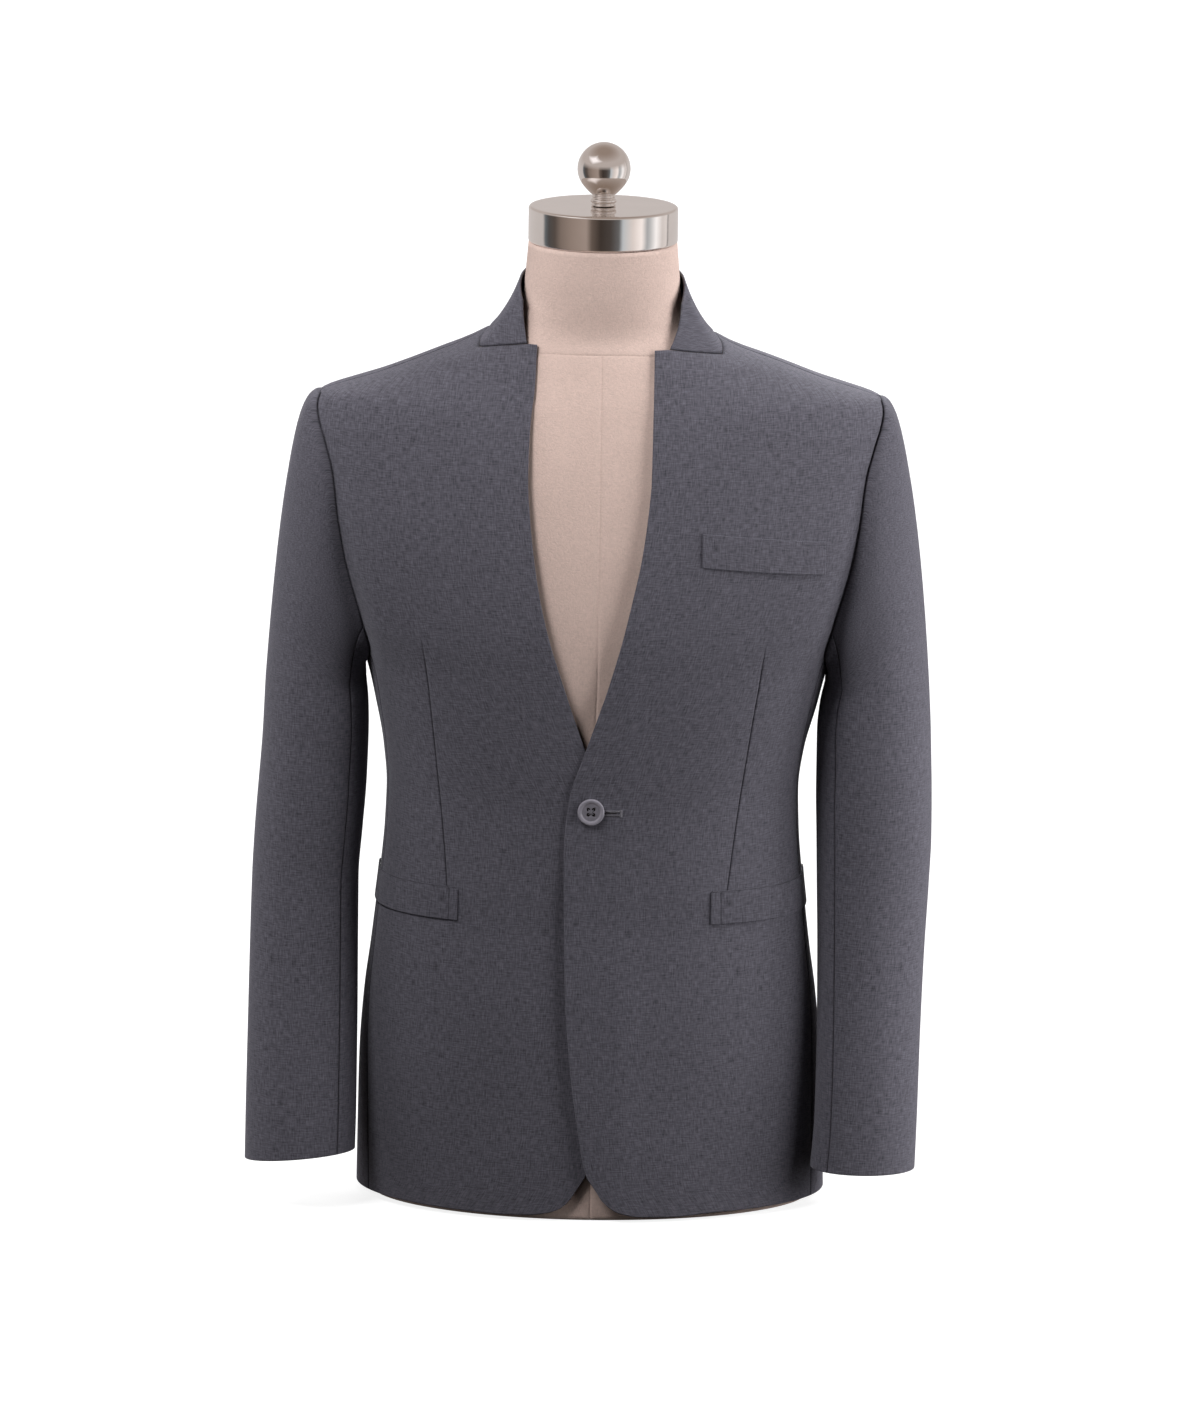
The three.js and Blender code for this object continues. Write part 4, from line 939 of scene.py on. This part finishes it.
def tube(path, radius, sides=8):
    """Rings round a short thread that is pointed at both ends."""
    path = np.array(path, float)
    along = unit(np.gradient(path, axis=0))
    side = unit(np.cross(along, np.array([0.3, 0.2, 1.0])))
    up = np.cross(side, along)
    angle = ring_angles(sides)[:, None]
    size = radius * np.concatenate([[0.5], np.ones(len(path) - 2), [0.5]])
    ring = side[:, None] * np.cos(angle) + up[:, None] * np.sin(angle)
    return path[:, None] + ring * size[:, None, None]


def threads(name, paths, radius, material):
    """One piece from many short threads."""
    points, faces, start = [], [], 0
    for path in paths:
        some_points, some_faces = rings(tube(path, radius))
        points.append(some_points)
        faces += [[i + start for i in face] for face in some_faces]
        start += len(some_points)
    return dress(make_object(name, askew(np.concatenate(points)), faces, [material]), "cloth")


def make_button_thread(material):
    """Crossed thread that holds the button through its four holes."""
    paths = []
    s = np.linspace(-1, 1, 17)
    reach = HOLE_PITCH * s * 1.04
    for k, slant in enumerate((1, -1)):
        z = BUTTON_THICK - BUTTON_DISH + 0.24 + 0.3 * k + 0.25 * (1 - s * s)
        z = z - 5.0 * np.maximum(np.abs(s) - 0.55, 0)
        for shift in (-0.24, 0.24):
            x, y = reach + shift * slant * 0.7, slant * reach - shift * 0.7
            paths.append(on_button_seat(np.stack([x, y, z], -1)))
    return threads("button_thread", paths, 0.24, material)


def on_cloth(x, z, height):
    """Points at a height over the cloth beside the button."""
    point, facing = front_seat(x, z)
    return point + facing * (LAP * (1 - smoothstep(x, *LAP_FADE)) + height)[..., None]


def make_buttonhole(sizes, thread, shadow_finish):
    """Sewn buttonhole beside the button, with purl stitches round a slit, a dark sheet of painted shadow, and
    a bar at its end.
    """
    start, end = BUTTONHOLE
    level = BUTTON_Z - 1.2
    pitch = sizes.stitch_pitch / MM
    t = np.linspace(0, 1, 7)
    paths = []
    for x in np.arange(start, end - 2.0, pitch):
        for way in (1, -1):
            height = 0.1 + 0.34 * np.sin(math.pi * np.clip(t + 0.08, 0, 1))
            paths.append(on_cloth(x + 0.15 * np.sin(t * 3 + x), level + way * lerp(0.75, 2.5, t), height))
    for z in np.arange(level - 2.7, level + 2.71, pitch * 0.8):
        paths.append(on_cloth(lerp(end - 2.1, end, t), z + 0 * t, 0.12 + 0.5 * np.sin(math.pi * t)))
    stitches = threads("buttonhole_stitches", paths, 0.36, thread)
    across, along = np.meshgrid(np.linspace(-0.9, 0.9, 7), np.linspace(start, end - 4.6, 28))
    top = on_cloth(along, level + across, 0.05 + 0.16 * (1 - (across / 0.9) ** 2))
    low = on_cloth(along, level + across, 0 * across + 0.02)
    points, faces, _ = wall(askew(top), askew(low))
    slit = dress(make_object("buttonhole_slit", points, faces, [shadow_finish]), "cloth")
    return stitches, slit


class Value:
    """What a shader node gives. + - * join it with a number or another value in a Math node."""

    def __init__(self, socket):
        self.socket = socket

    def __add__(self, other):
        return joined("ADD", self, other)

    def __sub__(self, other):
        return joined("SUBTRACT", self, other)

    def __rsub__(self, other):
        return joined("SUBTRACT", other, self)

    def __mul__(self, other):
        return joined("MULTIPLY", self, other)


def put(value, socket):
    """Links a value to a socket, or sets the socket's own number or colour."""
    if isinstance(value, Value):
        socket.id_data.links.new(value.socket, socket)
    else:
        socket.default_value = value


def joined(operation, *values):
    """Math node of one or two values."""
    tree = next(value for value in values if isinstance(value, Value)).socket.id_data
    node = tree.nodes.new("ShaderNodeMath")
    node.operation = operation
    for value, socket in zip(values, node.inputs):
        put(value, socket)
    return Value(node.outputs[0])


def mixed(tree, factor, first, second, blend="MIX"):
    """Colour that goes from the first to the second with a factor, or their product."""
    mix = tree.nodes.new("ShaderNodeMix")
    mix.data_type, mix.blend_type = "RGBA", blend
    for value, k in ((factor, 0), (first, 6), (second, 7)):
        put(value, mix.inputs[k])
    return Value(mix.outputs[2])


def split_up(tree, vector):
    """The three numbers of a vector."""
    split = tree.nodes.new("ShaderNodeSeparateXYZ")
    put(vector, split.inputs[0])
    return [Value(output) for output in split.outputs]


class Finish:
    """A material in the making, with a Principled shader and the place of each point."""

    def __init__(self, name, of_cloth=False):
        self.material = bpy.data.materials.new(name)
        self.material.use_nodes = True
        self.tree = self.material.node_tree
        self.shader = self.tree.nodes["Principled BSDF"]
        if of_cloth:
            self.place = self.attribute("cloth_place", "Vector")
        else:
            self.place = Value(self.tree.nodes.new("ShaderNodeTexCoord").outputs["Object"])

    def attribute(self, name, output):
        node = self.tree.nodes.new("ShaderNodeAttribute")
        node.attribute_name = name
        return Value(node.outputs[output])

    def noise(self, scale, detail, distortion=0.0, place=None):
        """Noise of a size per metre."""
        node = self.tree.nodes.new("ShaderNodeTexNoise")
        put(place or self.place, node.inputs["Vector"])
        for name, value in (("Scale", scale), ("Detail", detail), ("Distortion", distortion)):
            put(value, node.inputs[name])
        return Value(node.outputs["Fac"])

    def stretched(self, size, detail):
        """Noise with its own size along each thread, per millimetre."""
        scaled = self.tree.nodes.new("ShaderNodeVectorMath")
        scaled.operation = "MULTIPLY"
        put(self.place, scaled.inputs[0])
        put([s / MM for s in size], scaled.inputs[1])
        return self.noise(1.0, detail, place=Value(scaled.outputs[0]))

    def colour(self, colour, factor):
        """Colour times a factor."""
        self.set({"Base Color": mixed(self.tree, 1.0, (*colour, 1), factor, "MULTIPLY")})

    def bump(self, height, strength, distance):
        """Relief of a depth in millimetres."""
        node = self.tree.nodes.new("ShaderNodeBump")
        for name, value in (("Strength", strength), ("Distance", distance * MM), ("Height", height)):
            put(value, node.inputs[name])
        self.set({"Normal": Value(node.outputs[0])})

    def set(self, values):
        for name, value in values.items():
            put(value, self.shader.inputs[name])


def cloth_material(name, colour):
    """Heathered plain-woven suiting with small random slubs."""
    finish = Finish(name, of_cloth=True)
    warp = finish.stretched((0.95, 0.14, 1), 3)
    weft = finish.stretched((0.14, 0.95, 1), 3)
    slub = finish.stretched((0.9, 0.07, 1), 1)
    broad = finish.stretched((0.012, 0.012, 1), 2)
    pair = warp + weft
    factor = (pair - 1) * 1.5 + joined("MAXIMUM", slub - 0.6, 0) * -1.3 + ((broad - 0.5) * 0.16 + 1)
    # The colour is darkened by the pieces' painted shade along seams, darts and welts.
    finish.colour(colour, factor * (1 - finish.attribute("painted_shade", "Fac")))
    turns = 2 * math.pi / (THREAD_PITCH * MM)
    across, along = (joined("SINE", number * turns) for number in split_up(finish.tree, finish.place)[:2])
    finish.bump(across * along * 0.35 + pair, 0.5, 0.12)
    finish.set({"Roughness": 0.88, "Specular IOR Level": 0.25, "Sheen Weight": 0.2,
                "Sheen Roughness": 0.5, "Sheen Tint": (0.8, 0.8, 0.9, 1)})
    return finish.material


def lining_material(name, colour):
    """Smooth twill lining with a soft shine."""
    finish = Finish(name, of_cloth=True)
    fine = finish.stretched((2.4, 0.2, 1), 2)
    finish.colour(colour, (fine + finish.stretched((0.03, 0.02, 1), 2)) * 0.3 + 0.7)
    finish.bump(fine, 0.25, 0.05)
    finish.set({"Roughness": 0.42})
    return finish.material


def linen_material(name, colour):
    """Linen stretched over the form: uneven threads and fine puckers."""
    finish = Finish(name)
    both = finish.stretched((1.6, 1.6, 0.25), 3) + finish.stretched((0.25, 0.25, 1.7), 3)
    puckers = finish.noise(230.0, 2.0, 2.6)
    stains = finish.noise(14.0, 4.0)
    finish.colour(colour, (both - 1) * 0.25 + (stains - 0.5) * 0.16 + ((puckers - 0.5) * 0.3 + 1))
    finish.bump(both * 0.25 + puckers, 0.55, 0.6)
    finish.set({"Roughness": 0.9, "Specular IOR Level": 0.2, "Sheen Weight": 0.1})
    return finish.material


def metal_material(name, colour):
    """Polished nickel plate with faint turning marks and smudges."""
    finish = Finish(name)
    smudge = finish.noise(45.0, 3.0)
    finish.colour(colour, smudge * 0.12 + 0.94)
    finish.bump(finish.stretched((0.02, 0.02, 3.5), 2), 0.06, 0.05)
    finish.set({"Roughness": smudge * 0.06 + 0.05, "Metallic": 1.0})
    return finish.material


def plastic_material(name, colour):
    """Button of mottled satin plastic."""
    finish = Finish(name)
    veins = finish.noise(260.0, 4.0, 0.8)
    # Painted shade from the button darkens its holes and dish.
    finish.colour(colour, (veins * 0.5 + 0.75) * (1 - finish.attribute("painted_shade", "Fac")))
    finish.bump(veins, 0.1, 0.05)
    finish.set({"Roughness": veins * 0.15 + 0.25, "Coat Weight": 0.2, "Coat Roughness": 0.2})
    return finish.material


def thread_material(name, colour):
    """Twisted sewing thread."""
    finish = Finish(name)
    twist = finish.stretched((2.5, 2.5, 2.5), 2)
    finish.colour(colour, twist * 0.8 + 0.6)
    finish.bump(twist, 0.3, 0.08)
    finish.set({"Roughness": 0.6})
    return finish.material


def floor_material(name, colour):
    """Pale floor that glows a little, so that it stays even."""
    finish = Finish(name)
    finish.colour(colour, finish.noise(3.0, 2.0) * 0.02 + 0.99)
    finish.set({"Roughness": 0.95, "Specular IOR Level": 0.1, "Emission Color": (1, 1, 1, 1),
                "Emission Strength": 0.84})
    return finish.material


# What the polished metal mirrors of the studio: degrees from the front, brightness, warmth.
STUDIO = (
    (-180, 0.66, 0.1), (-107, 0.62, 0.1), (-101, 0.17, -0.6), (-93, 0.09, 0), (-80, 0.09, 0.7),
    (-68, 0.2, 0.8), (-50, 0.28, 0.8), (-26, 0.34, 0.7), (-18, 0.12, 0.9), (-4, 0.045, 0.9),
    (12, 0.07, 0.5), (25, 0.16, -0.2), (31, 0.68, -0.4), (47, 0.8, 0.2), (62, 1.1, 0.1),
    (72, 0.5, -0.3), (79, 0.7, -0.2), (90, 1.2, -0.1), (104, 0.75, 0.1), (116, 0.85, 0.1),
    (118.5, 0.25, 0), (122, 0.66, 0.1), (180, 0.66, 0.1),
)


def make_world(scene, strength):
    """White surroundings with weak even light. Mirrored rays see soft boxes and the gaps between them."""
    world = scene.world = bpy.data.worlds.new("studio_light")
    world.use_nodes = True
    tree = world.node_tree
    x, y, up = split_up(tree, Value(tree.nodes.new("ShaderNodeTexCoord").outputs["Generated"]))
    turn = joined("ARCTAN2", x, y * -1)
    ramp = tree.nodes.new("ShaderNodeValToRGB")
    elements = ramp.color_ramp.elements
    elements[0].position, elements[1].position = 0.0, 1.0
    for _ in STUDIO[2:]:
        elements.new(0.5)
    for element, (degrees, bright, warm) in zip(elements, STUDIO):
        element.position = (degrees + 180) / 360
        element.color = (bright * (1 + 0.26 * warm), bright * 0.96, bright * (0.955 - 0.15 * warm), 1)
    put(joined("DIVIDE", turn, 2 * math.pi) + 0.5, ramp.inputs[0])
    window = 1 - (joined("ABSOLUTE", turn + 0.95) * 1.1 + joined("ABSOLUTE", up - 0.62) * 3.6)
    room = Value(ramp.outputs[0])
    for factor, colour in (
        (up * 3.5, (0.56, 0.50, 0.475, 1)), ((up - 0.55) * 2.5, (0.34, 0.27, 0.23, 1)),
        ((up + 0.5) * -4, (0.34, 0.26, 0.22, 1)), (window * 1.5, (1.25, 1.2, 1.22, 1)),
    ):
        room = mixed(tree, factor, room, colour)
    ray = tree.nodes.new("ShaderNodeLightPath").outputs
    plain = mixed(tree, Value(ray["Is Camera Ray"]), (strength, strength, strength, 1), (1, 1, 1, 1))
    put(mixed(tree, Value(ray["Is Glossy Ray"]), plain, room), tree.nodes["Background"].inputs["Color"])


def towards(azimuth, elevation):
    """Direction from the object: azimuth from the front towards the wearer's left."""
    a, e = math.radians(azimuth), math.radians(elevation)
    return Vector((math.sin(a) * math.cos(e), -math.cos(a) * math.cos(e), math.sin(e)))


def add_light(name, kind, energy, direction, size, place=(0, 0, 0)):
    """Soft studio light. Metal mirrors the studio's soft boxes in its stead."""
    lamp = bpy.data.lights.new(name, kind)
    lamp.energy = energy
    if kind == "SUN":
        lamp.angle = math.radians(size)
    else:
        lamp.shape, lamp.size = "DISK", size
    light = bpy.data.objects.new(name, lamp)
    light.location = place
    light.rotation_mode = "QUATERNION"
    light.rotation_quaternion = direction.to_track_quat("Z", "Y")
    light.visible_glossy = False
    bpy.context.scene.collection.objects.link(light)


# Soft lights: name, energy, place in metres, all turned to the middle of the object.
NEAR_LIGHTS = (
    ("key_light", 25.5, (-0.9, -1.0, 1.75)),
    ("low_light", 8.4, (1.0, -0.6, 0.55)),
)
# Even lights: name, energy, azimuth, elevation.
FAR_LIGHTS = (
    ("front_fill", 0.1, -30, 8), ("right_high", 2.3, 100, 40), ("right_low", 1.6, 100, 8),
    ("left_low", 0.36, -65, 8), ("left_high", 1.1, -100, 40), ("back_fill", 1.3, 180, 35),
)


def light_stage():
    for name, energy, place in NEAR_LIGHTS:
        add_light(name, "AREA", energy, Vector(place) - Vector((0, 0, 0.4)), 0.7, place)
    for name, energy, azimuth, elevation in FAR_LIGHTS:
        add_light(name, "SUN", energy, towards(azimuth, elevation), 35)


def make_camera(scene):
    """Camera at the photograph's viewing angle."""
    data = bpy.data.cameras.new("camera")
    data.sensor_width = 36
    data.lens = 466.35
    data.clip_start, data.clip_end = 0.5, 200
    camera = bpy.data.objects.new("camera", data)
    scene.collection.objects.link(camera)
    target = Vector((-0.0033, 0, 0.4076))
    rise, distance, roll = math.radians(10.6), 15.0, math.radians(0.805)
    back = Vector((0, -math.cos(rise), math.sin(rise)))
    camera.location = target + back * distance
    upright = (-back).to_track_quat("-Z", "Y").to_matrix()
    camera.rotation_mode = "QUATERNION"
    camera.rotation_quaternion = (upright @ Matrix.Rotation(roll, 3, "Z")).to_quaternion()
    scene.camera = camera


def length_property(name, description, default, least, most, precision=5):
    return bpy.props.FloatProperty(
        name=name, description=description, default=default, min=least, max=most,
        precision=precision, unit="LENGTH", subtype="DISTANCE")


class JacketSizes(bpy.types.PropertyGroup):
    """Sizes that change how the cloth is made up."""

    cloth_thickness: length_property(
        "Cloth thickness", "Thickness of a made-up cloth piece with its lining", 0.002, 0.001, 0.003, 4)
    seam_depth: length_property("Seam depth", "How far the cloth falls back at a seam", 0.0007, 0, 0.0015)
    dart_depth: length_property("Dart depth", "How far the cloth falls back along a dart", 0.0008, 0, 0.0012)
    fold_scale: bpy.props.FloatProperty(
        name="Folds", description="Strength of the soft folds, 1 as made", default=1, min=0, max=2)
    stitch_pitch: length_property(
        "Stitch pitch", "Distance between two stitches of the buttonhole", 0.0008, 0.0005, 0.002)
    floor_size: length_property("Floor size", "Width of the studio floor", 80, 5, 200, 2)
    studio_light: bpy.props.FloatProperty(
        name="Studio light", description="Brightness of the even light all round",
        default=0.015, min=0, max=5)


def colour_property(name, description, default):
    return bpy.props.FloatVectorProperty(
        name=name, description=description, default=default, size=3, min=0, max=1, subtype="COLOR")


class JacketColours(bpy.types.PropertyGroup):
    """Colours of the finishes."""

    cloth: colour_property("Cloth", "Suiting outside", (0.0865, 0.0825, 0.1))
    lining: colour_property("Lining", "Lining inside", (0.03, 0.03, 0.036))
    linen: colour_property("Linen", "Cover of the form", (0.57, 0.433, 0.384))
    metal: colour_property("Metal", "Neck cap and ball", (0.80, 0.76, 0.73))
    button: colour_property("Button", "Front button", (0.235, 0.222, 0.258))
    thread: colour_property("Thread", "Stitches and button thread", (0.15, 0.145, 0.165))
    floor: colour_property("Floor", "Studio floor", (0.35, 0.35, 0.35))


def suiting(context):
    """The cloth and its lining, made once."""
    colours = context.scene.jacket_colours
    cloth = bpy.data.materials.get("suiting") or cloth_material("suiting", colours.cloth)
    lining = bpy.data.materials.get("lining") or lining_material("lining", colours.lining)
    return [cloth, lining]


class JACKET_OT_form(bpy.types.Operator):
    """Make the dress form's linen cover"""

    bl_idname = "jacket.form"
    bl_label = "Form"

    def execute(self, context):
        make_form([linen_material("linen", context.scene.jacket_colours.linen)])
        return {"FINISHED"}


class JACKET_OT_fittings(bpy.types.Operator):
    """Make the neck cap and its ball"""

    bl_idname = "jacket.fittings"
    bl_label = "Cap and ball"

    def execute(self, context):
        metal = [metal_material("nickel", context.scene.jacket_colours.metal)]
        turned("neck_cap_plate", cap_profile(), 160, metal, "metal", "neck_cap")
        turned("cap_ball_turning", ball_profile(), 96, metal, "metal", "cap_ball")
        return {"FINISHED"}


class JACKET_OT_body(bpy.types.Operator):
    """Make the fronts, side panels and backs"""

    bl_idname = "jacket.body"
    bl_label = "Body"

    def execute(self, context):
        sizes, materials = context.scene.jacket_sizes, suiting(context)
        for name in SIDES:
            front = make_front(name, sizes, materials)
            side = make_side(name, sizes, materials)
            back = make_back(name, sizes, materials)
        return {"FINISHED"}


class JACKET_OT_sleeves(bpy.types.Operator):
    """Make the top and under part of both sleeves, and the tapes under their seams"""

    bl_idname = "jacket.sleeves"
    bl_label = "Sleeves"

    def execute(self, context):
        sizes, materials = context.scene.jacket_sizes, suiting(context)
        for name in SIDES:
            top = make_sleeve(name, "top", sizes, materials)
            under = make_sleeve(name, "under", sizes, materials)
            tape = make_tape(name, materials)
        return {"FINISHED"}


class JACKET_OT_collar(bpy.types.Operator):
    """Make the stand collar"""

    bl_idname = "jacket.collar"
    bl_label = "Collar"

    def execute(self, context):
        collar = make_collar(context.scene.jacket_sizes, suiting(context))
        return {"FINISHED"}


class JACKET_OT_welts(bpy.types.Operator):
    """Make the welts of the breast pocket and of both waist pockets"""

    bl_idname = "jacket.welts"
    bl_label = "Pocket welts"

    def execute(self, context):
        materials = suiting(context)[:1]
        chest = make_welt("welt_chest", 1, chest_cell, 106, 28, (30, 8), materials)
        for name, side in SIDES.items():
            welt = make_welt(f"welt_waist_{name}", side, waist_cell(name), 120, 27.6, (40, 8), materials, 6)
        return {"FINISHED"}


class JACKET_OT_button(bpy.types.Operator):
    """Make the button, its thread and the buttonhole"""

    bl_idname = "jacket.button"
    bl_label = "Button and buttonhole"

    def execute(self, context):
        colours = context.scene.jacket_colours
        make_button([plastic_material("button_plastic", colours.button)])
        thread = thread_material("sewing_thread", colours.thread)
        # Painted shadow for the buttonhole's slit: a dark sheet with the thread's finish, a fifth as bright
        # as the cloth.
        shadow_finish = thread_material("slit_shadow", [0.2 * c for c in colours.cloth])
        make_button_thread(thread)
        make_buttonhole(context.scene.jacket_sizes, thread, shadow_finish)
        return {"FINISHED"}


class JACKET_OT_stage(bpy.types.Operator):
    """Make the pale floor, the studio light and the camera"""

    bl_idname = "jacket.stage"
    bl_label = "Stage"

    def execute(self, context):
        scene = context.scene
        half = scene.jacket_sizes.floor_size / 2 / MM
        corners = np.array([(-half, -half, -FLOOR_GAP), (half, -half, -FLOOR_GAP),
                            (half, half, -FLOOR_GAP), (-half, half, -FLOOR_GAP)])
        floor = make_object("floor", corners, [[0, 1, 2, 3]],
                            [floor_material("pale_floor", scene.jacket_colours.floor)])
        floor.visible_glossy = floor.visible_diffuse = False
        make_world(scene, scene.jacket_sizes.studio_light)
        light_stage()
        make_camera(scene)
        scene.view_settings.view_transform = "Standard"
        return {"FINISHED"}


class JACKET_PT_panel(bpy.types.Panel):
    """Lists the jacket's sizes, colours and steps"""

    bl_idname = "JACKET_PT_panel"
    bl_label = "Suit jacket"
    bl_space_type = "VIEW_3D"
    bl_region_type = "UI"
    bl_category = "Jacket"

    def draw(self, context):
        for group in (context.scene.jacket_sizes, context.scene.jacket_colours):
            for name in group.__annotations__:
                self.layout.prop(group, name)
        for step in STEPS:
            self.layout.operator(step.bl_idname)


STEPS = (JACKET_OT_form, JACKET_OT_fittings, JACKET_OT_body, JACKET_OT_sleeves, JACKET_OT_collar,
         JACKET_OT_welts, JACKET_OT_button, JACKET_OT_stage)
CLASSES = (JacketSizes, JacketColours, *STEPS, JACKET_PT_panel)


def register():
    for each in CLASSES:
        bpy.utils.register_class(each)
    bpy.types.Scene.jacket_sizes = bpy.props.PointerProperty(type=JacketSizes)
    bpy.types.Scene.jacket_colours = bpy.props.PointerProperty(type=JacketColours)


def unregister():
    del bpy.types.Scene.jacket_colours
    del bpy.types.Scene.jacket_sizes
    for each in reversed(CLASSES):
        bpy.utils.unregister_class(each)


def main():
    """Makes every piece in order."""
    register()
    bpy.ops.jacket.form()
    bpy.ops.jacket.fittings()
    bpy.ops.jacket.body()
    bpy.ops.jacket.sleeves()
    bpy.ops.jacket.collar()
    bpy.ops.jacket.welts()
    bpy.ops.jacket.button()
    bpy.ops.jacket.stage()
    bpy.context.view_layer.update()


if __name__ == "__main__":
    main()
